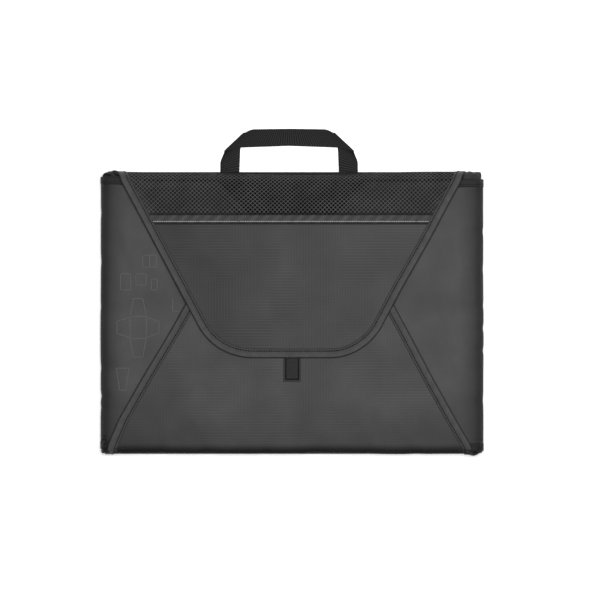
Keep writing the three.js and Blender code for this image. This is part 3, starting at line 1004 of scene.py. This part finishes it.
def bound_edge(name, fold, edge, material, pucker, seed=1, lift=0.85):
    """Binding tape round a wing's free edge, and its row of stitches."""
    tape = strip(f"{name}_edge_tape", fold, edge[::-1], tape_profile(sizes().tape * METRE),
                 material, pucker=pucker, seed=seed)
    row = stitch_row(f"{name}_edge_stitches", fold,
                     sideways(resampled(edge[::-1], 2)[0], STITCH_INSET), lift)
    return tape, row


def ride_in_slot(piece, body):
    """The piece moves with one body."""
    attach(piece, body)


def full_grid(edge_low, edge_high, reaches, columns):
    """Grid of places whose rows run between two along-values at each reach."""
    share = np.linspace(0, 1, columns)
    along = edge_low[:, None] + (edge_high - edge_low)[:, None] * share[None, :]
    reach = np.repeat(np.asarray(reaches, float)[:, None], columns, axis=1)
    return along, reach


# ---- Outlines -------------------------------------------------------------------------------
def flap_edge(fold):
    """The flap's free edge as places, from its left end to its right end."""
    tip = FLAP_LOW[1]
    inset = (HALF_HEIGHT - tip)
    half_tip = flap_half_width(tip)
    flat = rounded_line([
        (-flap_half_width(HALF_HEIGHT - fold.roll), fold.arc),
        (-half_tip, fold.reach_of(inset)),
        (half_tip, fold.reach_of(inset)),
        (flap_half_width(HALF_HEIGHT - fold.roll), fold.arc),
    ], FLAP_CORNER, 14)
    start = [[-FLAP_HIGH[0], 0.0]]
    return np.concatenate([start, flat, [[FLAP_HIGH[0], 0.0]]])


def bottom_edge(fold):
    """The bottom wing's free edge, from its left end to its right end."""
    inset = BOTTOM_HIGH[1] + HALF_HEIGHT
    half_tip = bottom_half_width(BOTTOM_HIGH[1])
    base = bottom_half_width(-HALF_HEIGHT + fold.roll)
    flat = rounded_line([
        (-base, fold.arc), (-half_tip, fold.reach_of(inset)),
        (half_tip, fold.reach_of(inset)), (base, fold.arc)], BOTTOM_CORNER)
    return np.concatenate([[[-BOTTOM_HIGH[0], 0.0]], flat, [[BOTTOM_HIGH[0], 0.0]]])


def side_edge(fold):
    """A side wing's tapered free edge, from its lower corner to its upper one."""
    half = SIDE_TAPE_HIGH[1] - SIDE_TAPE_END
    reach = fold.reach_of(HALF_WIDTH - SIDE_TAPE_LOW[0])
    return rounded_line([
        (-half, reach - SIDE_TAPER), (-half + SIDE_TAPER, reach), (half - SIDE_TAPER, reach),
        (half, reach - SIDE_TAPER)], SIDE_CORNER, 8)


def fold_rows(fold, end, step):
    """Reaches of a wing's rows of points: close together round the fold, then step apart."""
    return np.concatenate([
        np.linspace(0, fold.arc, 13)[:-1], np.arange(fold.arc, end - 2, step), [end]])


def half_width_at(edge, reach):
    """Half the width of a symmetric outline at each reach."""
    half = edge[: len(edge) // 2 + 1]
    order = np.argsort(half[:, 1])
    return np.interp(reach, half[order, 1], -half[order, 0])


# ---- Operators --------------------------------------------------------------------------------
class PieceOperator:
    """Shared settings of the operators that build pieces."""

    bl_options = {"REGISTER", "UNDO"}


class FOLDER_OT_back(PieceOperator, bpy.types.Operator):
    """Back cloth with its bound edge"""

    bl_idname = "packing_folder.back"
    bl_label = "Back"

    def execute(self, context):
        inset = 3.0
        half_x, half_y = HALF_WIDTH - inset, HALF_HEIGHT - inset
        x, y = np.meshgrid(np.linspace(-half_x, half_x, 91), np.linspace(-half_y, half_y, 68))
        over = np.maximum(np.abs(x) - half_x + 9, 0), np.maximum(np.abs(y) - half_y + 9, 0)
        far = np.hypot(*over)
        pull = np.where(far > 9, 9 / np.maximum(far, 1e-6), 1.0)
        x = np.sign(x) * (np.abs(x) - over[0] * (1 - pull))
        y = np.sign(y) * (np.abs(y) - over[1] * (1 - pull))
        z = 0.85 + 0.12 * ripples(x, y, 60, 31) * ease((half_x - np.abs(x)) / 30)
        middle = np.stack([x, y, z], axis=-1)
        places = middle[..., :2].reshape(-1, 2) * MM
        piece = thick_sheet(
            "back_cloth_panel", middle.reshape(-1, 3), np.tile([0.0, 0, 1], (x.size, 1)), 0.7,
            grid_faces(*x.shape), places, coated_back_weave())
        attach(piece, "back")
        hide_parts("back_panel")
        2 * half_x * MM
        2 * half_y * MM
        corner = 10.0
        line = []
        for cx, cy, turn in ((1, 1, 0), (-1, 1, 90), (-1, -1, 180), (1, -1, 270)):
            for k in range(9):
                a = math.radians(turn + k * 90 / 8)
                line.append((cx * (half_x - corner) + corner * math.cos(a),
                             cy * (half_y - corner) + corner * math.sin(a)))
        line.append(line[0])
        line, run = resampled(line, 3.0)
        line, run = line[:-1], run[:-1]
        way = np.roll(line, -1, axis=0) - np.roll(line, 1, axis=0)
        way /= np.linalg.norm(way, axis=1, keepdims=True)
        out = np.stack([way[:, 1], -way[:, 0]], axis=1)
        rings, places = [], []
        for k in range(12):
            a = 2 * math.pi * k / 12
            across, up = 2.6 * math.cos(a), 1.45 * math.sin(a)
            rings.append(np.concatenate(
                [line + out * across, np.full((len(line), 1), 1.6 + up)], axis=1))
            places.append(np.stack([run, np.full(len(run), a * 2)], axis=1))
        places = np.stack(places, axis=1).reshape(-1, 2) * MM
        binding = closed_tube("back_edge_binding", np.stack(rings, axis=1), places,
                              side_twill_tape(), cyclic=True)
        ride_in_slot(binding, "back")
        return {"FINISHED"}


class FOLDER_OT_board(PieceOperator, bpy.types.Operator):
    """Stiff folding board inside the folder"""

    bl_idname = "packing_folder.board"
    bl_label = "Folding board"

    def execute(self, context):
        board = next(o for o in context.scene.objects
                     if o.type == "MESH" and o.name.startswith("folding_board"))
        board.data.materials.clear()
        board.data.materials.append(moulded_board())
        return {"FINISHED"}


class FOLDER_OT_handle(PieceOperator, bpy.types.Operator):
    """Webbing carry handle with two mitre folds"""

    bl_idname = "packing_folder.handle"
    bl_label = "Handle"

    def execute(self, context):
        middle = (HANDLE_LOW[0] + HANDLE_HIGH[0]) / 2
        base = HALF_HEIGHT
        fold_low, fold_high = np.array(HANDLE_FOLD_LOW), np.array(HANDLE_FOLD_HIGH)
        leg_low, leg_high = HANDLE_LAYERS
        rise = HANDLE_HIGH[1] - base + 1.0
        lower = rounded_line([fold_low, (58.8, 28.4), (0, rise - 20.2)], 40)
        upper = rounded_line([fold_high, (44.5, rise - 0.6), (0, rise)], 16)
        outer_leg = rounded_line([(81.4, -4), (81.3, 12), fold_low], 14)
        inner_leg = rounded_line([(58.8, -4), (57.7, 27), fold_high], 30)
        columns = 15
        share = np.linspace(0, 1, columns)[:, None]

        def row(a, b, z):
            line = np.asarray(a, float) + (np.asarray(b, float) - np.asarray(a, float)) * share
            return np.concatenate([line, np.full((columns, 1), float(z))], axis=1)

        rows = []
        outer_leg, inner_leg = (evenly(line, 30) for line in (outer_leg, inner_leg))
        for a, b in list(zip(outer_leg, inner_leg))[:-1]:
            rows.append(row(a, b, leg_low))
        way = fold_high - fold_low
        out = np.array([way[1], -way[0]]) / np.linalg.norm(way)
        for a in np.linspace(-80, 80, 7):
            shift = out * 0.62 * math.cos(math.radians(a)) * np.sign(out[0])
            z = (leg_low + leg_high) / 2 + (leg_high - leg_low) / 2 * math.sin(math.radians(a))
            rows.append(row(fold_low + shift, fold_high + shift, z))
        for a, b in list(zip(evenly(lower, 50), evenly(upper, 50)))[1:]:
            rows.append(row(a, b, leg_high))
        right = np.array(rows)
        left = right[::-1][1:].copy()
        left[..., 0] *= -1
        grid = np.concatenate([right, left])
        grid[..., 0] += middle
        grid[..., 1] += base
        lift = np.clip((grid[..., 1] - base - 4) / 20, 0, 1)
        grid[..., 2] += 0.35 * lift * (1 + ripples(grid[..., 0], grid[..., 1], 45, 41))
        run = run_of(grid[:, columns // 2])
        across = np.linspace(0, WEBBING_WIDTH, columns)
        places = np.stack(np.broadcast_arrays(run[:, None], across[None, :]), axis=-1)
        edge = np.abs(np.linspace(-1, 1, columns))
        half_thick = np.tile(0.58 * np.sqrt(np.clip(1.02 - edge ** 8 * 0.75, 0, 1)), len(grid))
        handle = thick_sheet(
            "handle_strap", grid.reshape(-1, 3), grid_normals(grid).reshape(-1, 3), half_thick,
            grid_faces(*grid.shape[:2]), places.reshape(-1, 2) * MM, ribbed_webbing())
        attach(handle, "handle")
        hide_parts("handle_webbing")
        return {"FINISHED"}


class FOLDER_OT_side_wings(PieceOperator, bpy.types.Operator):
    """Side wings and their gussets, hems and edge tapes"""

    bl_idname = "packing_folder.side_wings"
    bl_label = "Side wings"

    def execute(self, context):
        for name in ("left", "right"):
            self.build(name, folds()[name])
        return {"FINISHED"}

    def flare(self, name, sign, reach):
        """How much longer the cloth is near the folder's side, at its upper or lower end."""
        upper, lower = SIDE_FLARES[name]
        end = upper if sign > 0 else lower
        return end - (end + 1.5) * ease((reach - 25) / 45)

    def build(self, name, fold):
        """One side wing."""
        half = SIDE_HIGH[1] - 0.5
        edge = side_edge(fold)
        end = edge[:, 1].max() - UNDER_TAPE
        taper_start = edge[0, 1]
        reaches = fold_rows(fold, end, 3.4)
        narrow = np.maximum(reaches - (taper_start - UNDER_TAPE), 0)
        limit = np.maximum(half - narrow, half - SIDE_TAPER - 6)
        low, high = (limit + self.flare(name, sign, reaches) for sign in (-1, 1))
        along, reach = full_grid(-low, high, reaches, 93)
        wing = cloth_grid(f"{name}_wing_cloth", fold, along, reach, plain_weave())
        bend_over(wing, name, fold)
        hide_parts(f"{name}_wing")
        area = float(np.trapz(low + high, reaches)) * MM * MM

        lower = np.linspace(-fold.lower_arc, 0, 12)
        low, high = (half + self.flare(name, sign, lower) for sign in (-1, 1))
        along, reach = full_grid(-low, high, lower, 93)
        gusset = cloth_grid(f"{name}_gusset_cloth", fold, along, reach, plain_weave())
        bend_up(gusset, fold)
        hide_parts(f"{name}_gusset")

        tape, row = bound_edge(f"{name}_wing", fold, edge, side_twill_tape(), 0.08)
        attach(tape, f"{name}_wing")
        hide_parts(f"{name}_wing_tape")
        ride_in_slot(row, f"{name}_wing")
        for which, sign in (("upper", 1), ("lower", -1)):
            run = np.linspace(0.6, taper_start, 40)
            hem_line = np.stack([sign * (half + 0.4 + self.flare(name, sign, run)), run], axis=1)
            if sign < 0:
                hem_line = hem_line[::-1]
            hem = strip(f"{name}_wing_{which}_hem", fold, hem_line, flat_profile(9.5, 0.85),
                        plain_weave(), pucker=0.1, seed=7)
            bend_over(hem, name, fold)
            for k, inside in enumerate((6.3, 8.8)):
                run = np.linspace(fold.arc * 0.2, taper_start - 6, 40)
                seam = sign * (half + 0.4 - inside + self.flare(name, sign, run))
                stitches = stitch_row(f"{name}_wing_{which}_hem_stitches_{k + 1}", fold,
                                      np.stack([seam, run], axis=1), 0.98, width=0.4)
                bend_over(stitches, name, fold)


# Outlines of folds, printed on the left wing.
FOLDING_MARKS = (
    ((-176, 68), (-160, 68), (-160, 54), (-176, 54), (-176, 68)),
    ((-168, 68), (-168, 54)),
    ((-202, 46), (-190, 46), (-190, 27), (-202, 27), (-202, 46)),
    ((-184, 46), (-172, 46), (-172, 33), (-184, 33), (-184, 46)),
    ((-166, 40), (-159, 40), (-159, 27), (-166, 27), (-166, 40)),
    ((-191, -4), (-172, -4), (-172, -30), (-191, -30), (-191, -4)),
    ((-191, -4), (-187, 17), (-176, 17), (-172, -4)),
    ((-191, -30), (-187, -52), (-176, -52), (-172, -30)),
    ((-191, -5), (-206, -10), (-206, -24), (-191, -29)),
    ((-172, -5), (-157, -10), (-157, -24), (-172, -29)),
    ((-207, -65), (-192, -65), (-196, -91), (-203, -91), (-207, -65)),
    ((-141, 17), (-141, 2), (-133, 2)),
)


class FOLDER_OT_print(PieceOperator, bpy.types.Operator):
    """Faint folding marks printed on the left wing"""

    bl_idname = "packing_folder.folding_marks"
    bl_label = "Folding marks"

    def execute(self, context):
        fold = folds()["left"]
        middle, places, faces = [], [], []
        for mark in FOLDING_MARKS:
            line, run = resampled(mark, 1.6)
            for side in (-0.42, 0.42):
                moved = sideways(line, side)
                reach = fold.reach_of(moved[:, 0] + HALF_WIDTH)
                middle.append(fold.at(moved[:, 1], reach, np.full(len(run), 0.5)))
                places.append(np.stack([run, np.full(len(run), side)], axis=1) * MM)
            count = len(run)
            start = sum(len(m) for m in middle[:-2])
            a = np.arange(count - 1) + start
            faces.append(np.stack([a, a + 1, a + 1 + count, a + count], axis=1))
        middle = np.concatenate(middle)
        print_piece = thick_sheet("left_wing_folding_marks", middle,
                                  np.tile([0.0, 0, 1], (len(middle), 1)), 0.03,
                                  np.concatenate(faces), np.concatenate(places), printed_ink())
        ride_in_slot(print_piece, "left_wing")
        return {"FINISHED"}


class FOLDER_OT_bottom_wing(PieceOperator, bpy.types.Operator):
    """Bottom wing with its gusset, edge tape and loop patch"""

    bl_idname = "packing_folder.bottom_wing"
    bl_label = "Bottom wing"

    def execute(self, context):
        fold = folds()["bottom"]
        edge = bottom_edge(fold)
        end = edge[:, 1].max() - UNDER_TAPE
        reaches = fold_rows(fold, end, 3.2)
        limit = half_width_at(edge, reaches) - UNDER_TAPE
        along, reach = full_grid(-limit, limit, reaches, 125)
        wing = cloth_grid("bottom_wing_cloth", fold, along, reach, bottom_ripstop())
        bend_over(wing, "bottom", fold)
        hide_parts("bottom_wing")

        lower = np.linspace(-fold.lower_arc, 0, 12)
        half = np.full(12, BOTTOM_HIGH[0] - 1.0)
        along, reach = full_grid(-half, half, lower, 125)
        gusset = cloth_grid("bottom_gusset_cloth", fold, along, reach, bottom_ripstop())
        bend_up(gusset, fold)
        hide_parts("bottom_gusset")

        tape, row = bound_edge("bottom_wing", fold, edge, twill_tape(), 0.12, 3)
        bend_over(tape, "bottom", fold)
        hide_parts("bottom_wing_tape")
        bend_over(row, "bottom", fold)

        patch, row = sewn_patch("bottom_wing_loop_patch", "bottom_wing_patch_stitches", fold,
                                LOOP_LOW, LOOP_HIGH, lambda y: fold.reach_of(y + HALF_HEIGHT),
                                (0.42, 1.6), loop_pile())
        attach(patch, "bottom_wing")
        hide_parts("loop_patch")
        ride_in_slot(row, "bottom_wing")
        return {"FINISHED"}


def sewn_patch(name, stitches_name, fold, low, high, reach_of, lifts, material):
    """A rectangular hook or loop patch with a row of stitches round it."""
    x = np.linspace(low[0], high[0], 23)
    y = np.linspace(low[1], high[1], 41)
    xx, yy = np.meshgrid(x, y)
    below, above = lifts
    rim = np.minimum(np.minimum(xx - low[0], high[0] - xx), np.minimum(yy - low[1], high[1] - yy))
    half = (abs(above - below) / 2) * (0.45 + 0.55 * ease(rim / 1.6))
    reach = reach_of(yy)
    lift = np.full(xx.shape, (below + above) / 2)
    middle = fold.at(xx, reach, lift).reshape(-1, 3)
    normals = fold.normal(xx, reach).reshape(-1, 3)
    places = np.stack([xx, yy], axis=-1).reshape(-1, 2) * MM
    patch = thick_sheet(name, middle, normals, half.ravel(), grid_faces(*xx.shape), places,
                        material)
    inner = PATCH_SEAM
    x0, x1, y0, y1 = low[0] + inner, high[0] - inner, low[1] + inner, high[1] - inner
    line = np.array([(x0, y0), (x1, y0), (x1, y1), (x0, y1), (x0, y0)])
    line = np.stack([line[:, 0], reach_of(line[:, 1])], axis=1)
    outer = above if abs(above) > abs(below) else below
    row = stitch_row(stitches_name, fold, line, outer, width=0.5)
    return patch, row


class FOLDER_OT_netting(PieceOperator, bpy.types.Operator):
    """Netting of the top gusset and of the flap's upper part"""

    bl_idname = "packing_folder.netting"
    bl_label = "Netting"

    def execute(self, context):
        fold = folds()["top"]
        edge = flap_edge(fold)
        seam = band_lines()[0] + NETTING_BEHIND_BAND
        upper = self.net("flap_netting", fold, edge, 0.0, seam)
        bend_over(upper, "top", fold)
        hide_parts("flap_mesh")
        lower = self.net("top_gusset_netting", fold, edge, -fold.lower_arc, -1e-6)
        bend_up(lower, fold)
        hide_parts("top_gusset_mesh")
        return {"FINISHED"}

    def net(self, name, fold, edge, low, high):
        """Netting between two reaches: rows of cells, each a square with an oval hole."""
        pitch = sizes().netting * METRE
        half = pitch / 2
        rows = np.arange(math.ceil(low / half), math.floor(high / half) + 1)
        centres = []
        for r in rows:
            reach = r * half
            limit = float(half_width_at(edge, np.array([max(reach, 0.0)]))[0]) - NETTING_EDGE
            shift = half if r % 2 else 0.0
            n = int((limit - shift) // pitch)
            xs = shift + pitch * np.arange(-n - (1 if r % 2 else 0), n + 1)
            centres += [(x, reach) for x in xs]
        centres = np.array(centres)
        ring = [(math.cos(a), math.sin(a)) for a in np.arange(8) * math.pi / 4]
        outer = np.array([
            (c * half, s * half) if k % 2 == 0 else (np.sign(c) * half / 2, np.sign(s) * half / 2)
            for k, (c, s) in enumerate(ring)])
        hole = np.array([1.95, 1.45] * 4) * pitch / 5.1
        inner = np.array(ring) * hole[:, None]
        around = np.concatenate([outer, inner])
        spots = (centres[:, None, :] + around[None, :, :]).reshape(-1, 2)
        thickness = np.tile([0.42, 0.3] * 4 + [0.16] * 8, len(centres))
        key = np.round(spots * 1000).astype(np.int64)
        _, first, back = np.unique(key, axis=0, return_index=True, return_inverse=True)
        back = back.reshape(-1)
        spots, thickness = spots[first], thickness[first]
        faces = np.array([[k, (k + 1) % 8, 8 + (k + 1) % 8, 8 + k] for k in range(8)])
        start = np.arange(len(centres)) * 16
        faces = back[(start[:, None, None] + faces[None]).reshape(-1, 4)]
        middle = fold.at(spots[:, 0], spots[:, 1])
        normals = fold.normal(spots[:, 0], spots[:, 1])
        piece = thick_sheet(name, middle, normals, thickness, faces, spots * MM,
                            netting_thread())
        reach = np.linspace(low, high, 20)
        float(high - low) * MM
        return piece


class FOLDER_OT_flap(PieceOperator, bpy.types.Operator):
    """Flap panel with its seam band, reflective cord, edge tape and hook patch"""

    bl_idname = "packing_folder.flap"
    bl_label = "Flap"

    def execute(self, context):
        fold = folds()["top"]
        edge = flap_edge(fold)
        band_top, band_low = band_lines()
        end = edge[:, 1].max() - UNDER_TAPE
        reaches = np.concatenate([np.arange(band_low - 2, end - 2, 2.8), [end]])
        limit = half_width_at(edge, reaches) - UNDER_TAPE
        along, reach = full_grid(-limit, limit, reaches, 141)
        panel = cloth_grid("flap_cloth_panel", fold, along, reach, flap_ripstop())
        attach(panel, "flap")
        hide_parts("flap_panel")
        float(end - band_low + 2) * MM

        tape, row = bound_edge("flap", fold, edge, twill_tape(), 0.16, 5, lift=0.9)
        bend_over(tape, "top", fold)
        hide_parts("flap_tape")
        bend_over(row, "top", fold)

        half = float(half_width_at(edge, np.array([band_low]))[0]) - NETTING_EDGE
        line = np.array([(half, band_low), (-half, band_low)])
        band = strip("flap_hem_band", fold, line, flat_profile(band_low - band_top, 0.72),
                     seam_band_weave(), pucker=0.45, seed=9)
        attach(band, "flap")
        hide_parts("flap_seam_band")

        cord = self.twisted_cord(fold)
        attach(cord, "flap")
        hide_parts("flap_reflective_cord")

        patch, row = sewn_patch("flap_hook_patch", "flap_patch_stitches", fold, HOOK_LOW,
                                HOOK_HIGH, lambda y: fold.reach_of(HALF_HEIGHT - y),
                                (-0.42, -1.3), hook_pile())
        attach(patch, "flap")
        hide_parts("hook_patch")
        ride_in_slot(row, "flap")
        return {"FINISHED"}

    def twisted_cord(self, fold):
        """Two plies of cord twisted round each other along the seam band."""
        reach = fold.reach_of(HALF_HEIGHT - (CORD_LOW[1] + CORD_HIGH[1]) / 2)
        x = np.arange(CORD_LOW[0], CORD_HIGH[0], 0.5)
        twist = x / CORD_TWIST * 2 * math.pi
        pieces_points, faces, places = [], [], []
        for ply in (0.0, math.pi):
            across = 0.2 * np.cos(twist + ply)
            up = 1.05 + 0.2 * np.sin(twist + ply)
            rings = []
            for k in range(6):
                a = 2 * math.pi * k / 6
                rings.append(fold.at(x, reach + across + 0.24 * math.cos(a),
                                     up + 0.24 * math.sin(a)))
            ring = np.stack(rings, axis=1)
            faces += tube_faces(len(x), 6, sum(len(p) for p in pieces_points))
            pieces_points.append(ring.reshape(-1, 3))
            places.append(np.repeat(np.stack([x, x * 0], axis=1), 6, axis=0) * MM)
        return mesh_piece("flap_twisted_cord", np.concatenate(pieces_points), faces,
                                np.concatenate(places), reflective_cord())


# Each corner's outline as distances in from the folder's two edges, and how high it stands.
CORNER_OUTLINES = {
    (-1, 1): ([(21, 0.6), (18, -0.8), (12, -0.9), (7.5, 0.6), (3.4, 3.0), (0.8, 4.6), (0.3, 9),
               (0.6, 17)], -0.4),
    (1, 1): ([(22, 1.2), (17, 0.6), (11, 1.0), (5, 0.7), (2.5, 1.2), (2.6, 7.2), (3.2, 9.6),
              (0.6, 10.4), (0.4, 17)], -0.2),
    (-1, -1): ([(22, 1.4), (13, 2.2), (6, 1.6), (0.6, 1.4), (-0.6, 3.4), (0.0, 9), (0.4, 22)],
               1.6),
    (1, -1): ([(22, 0.2), (15, -0.6), (11, -1.4), (6, 1.0), (0.8, 1.9), (0.1, 4.6), (0.5, 17)],
              0.6),
}
# A tuck's section: how far in from its outline, and how high.
TUCK_PROFILE = [(3.0, 2.4), (1.2, 4.4), (0.3, 7.0), (0.0, 10.0), (0.2, 12.6), (0.9, 14.6),
                (2.2, 16.0), (3.8, 16.6), (5.6, 16.8), (7.4, 16.6), (9.4, 16.0), (12.0, 15.2)]


class FOLDER_OT_corners(PieceOperator, bpy.types.Operator):
    """Tucks that close the four corners, darkened with painted shade"""

    bl_idname = "packing_folder.corners"
    bl_label = "Corner tucks"

    def execute(self, context):
        for name, sign_y in (("top", 1), ("bottom", -1)):
            for side, sign_x in (("left", -1), ("right", 1)):
                self.tuck(f"{name}_{side}_corner_tuck", side, sign_x, sign_y)
        return {"FINISHED"}

    def tuck(self, name, side, sign_x, sign_y):
        """One corner's crumpled cloth, closed round the corner and folded in over it."""
        outline, rise = CORNER_OUTLINES[sign_x, sign_y]
        plan, run = resampled(np.array([HALF_WIDTH, HALF_HEIGHT]) - outline, 0.9)
        pole = np.array([HALF_WIDTH - 28, HALF_HEIGHT - 26])
        inward = pole - plan
        inward /= np.linalg.norm(inward, axis=1, keepdims=True)
        seed = 51 + sign_x + 3 * sign_y
        rows = []
        for into, z in TUCK_PROFILE:
            high = min(z / 15, 1)
            push = 0.55 * ripples(run, run * 0 + into * 0.8, 8, seed) * high
            lump = 0.75 * ripples(run, run * 0 + into * 1.6, 7, seed + 9) * high
            at = plan + inward * (into + push)[:, None]
            rows.append(np.concatenate([at, (z + rise * high + lump)[:, None]], axis=1))
        grid = np.array(rows)
        grid[..., 0] *= sign_x
        grid[..., 1] *= sign_y
        places = np.stack(np.broadcast_arrays(
            run[None, :], np.array([into for into, _ in TUCK_PROFILE])[:, None]), axis=-1)
        # The upper right tuck takes the back cloth's lighter finish, the others the darker tuck
        # finish with its painted shade.
        finish = coated_back_weave() if (sign_x, sign_y) == (1, 1) else tucked_weave()
        piece = thick_sheet(name, grid.reshape(-1, 3), grid_normals(grid).reshape(-1, 3), 0.3,
                            grid_faces(*grid.shape[:2]), places.reshape(-1, 2) * MM, finish)
        bend_over(piece, side, folds()[side])


class FOLDER_OT_stage(bpy.types.Operator):
    """Pale floor, soft light and the camera"""

    bl_idname = "packing_folder.stage"
    bl_label = "Stage"

    def execute(self, context):
        scene = context.scene
        scene.view_settings.view_transform = "Standard"
        corners = [(x * FLOOR_SIZE, y * FLOOR_SIZE, -FLOOR_DROP)
                   for x, y in ((-1, -1), (1, -1), (1, 1), (-1, 1))]
        mesh = bpy.data.meshes.new("floor")
        mesh.from_pydata(corners, [], [(0, 1, 2, 3)])
        mesh.materials.append(studio_floor())
        floor = bpy.data.objects.new("floor", mesh)
        scene.collection.objects.link(floor)

        world = bpy.data.worlds.new("studio")
        world.use_nodes = True
        world.node_tree.nodes["Background"].inputs["Color"].default_value = (1, 1, 1, 1)
        world.node_tree.nodes["Background"].inputs["Strength"].default_value = 0.2
        scene.world = world
        for name, place, aim, side, energy in (
                ("key", (0.08, 0.16, 1.35), (0, 0, 0), 0.9, 21.0),
                ("side", (1.6, 0.6, 1.0), (0, 0, 0), 0.8, 3.0)):
            light = bpy.data.lights.new(name, "AREA")
            light.shape = "SQUARE"
            light.size = side
            light.energy = energy
            lamp = bpy.data.objects.new(name, light)
            lamp.location = place
            lamp.rotation_euler = (Vector(aim) - Vector(place)).to_track_quat(
                "-Z", "Y").to_euler()
            scene.collection.objects.link(lamp)

        camera = bpy.data.cameras.new("camera")
        camera.sensor_width = SENSOR
        camera.lens = SENSOR * (CAMERA_PLACE[2] - CAMERA_AIM_LEVEL) / SHOWN_WIDTH
        camera.clip_end = 50.0
        eye = bpy.data.objects.new("camera", camera)
        eye.location = CAMERA_PLACE
        scene.collection.objects.link(eye)
        scene.camera = eye
        return {"FINISHED"}


class FOLDER_PT_panel(bpy.types.Panel):
    """Lists the folder's pieces and settings"""

    bl_idname = "FOLDER_PT_panel"
    bl_label = "Packing Folder"
    bl_space_type = "VIEW_3D"
    bl_region_type = "UI"
    bl_category = "Packing Folder"

    def draw(self, context):
        layout = self.layout
        for group in (context.scene.folder_sizes, context.scene.folder_colours):
            box = layout.box()
            for key in group.bl_rna.properties.keys():
                if key not in ("rna_type", "name"):
                    box.prop(group, key)
        for operator in OPERATORS:
            layout.operator(operator.bl_idname)


OPERATORS = (
    FOLDER_OT_stage, FOLDER_OT_back, FOLDER_OT_board, FOLDER_OT_handle, FOLDER_OT_side_wings,
    FOLDER_OT_print, FOLDER_OT_corners, FOLDER_OT_bottom_wing, FOLDER_OT_netting,
    FOLDER_OT_flap)
CLASSES = (FolderSizes, FolderColours, *OPERATORS, FOLDER_PT_panel)


def register():
    for cls in CLASSES:
        bpy.utils.register_class(cls)
    bpy.types.Scene.folder_sizes = bpy.props.PointerProperty(type=FolderSizes)
    bpy.types.Scene.folder_colours = bpy.props.PointerProperty(type=FolderColours)


def unregister():
    del bpy.types.Scene.folder_colours
    del bpy.types.Scene.folder_sizes
    for cls in reversed(CLASSES):
        bpy.utils.unregister_class(cls)


def main():
    register()
    for operator in OPERATORS:
        group, name = operator.bl_idname.split(".")
        getattr(getattr(bpy.ops, group), name)()


if __name__ == "__main__":
    main()
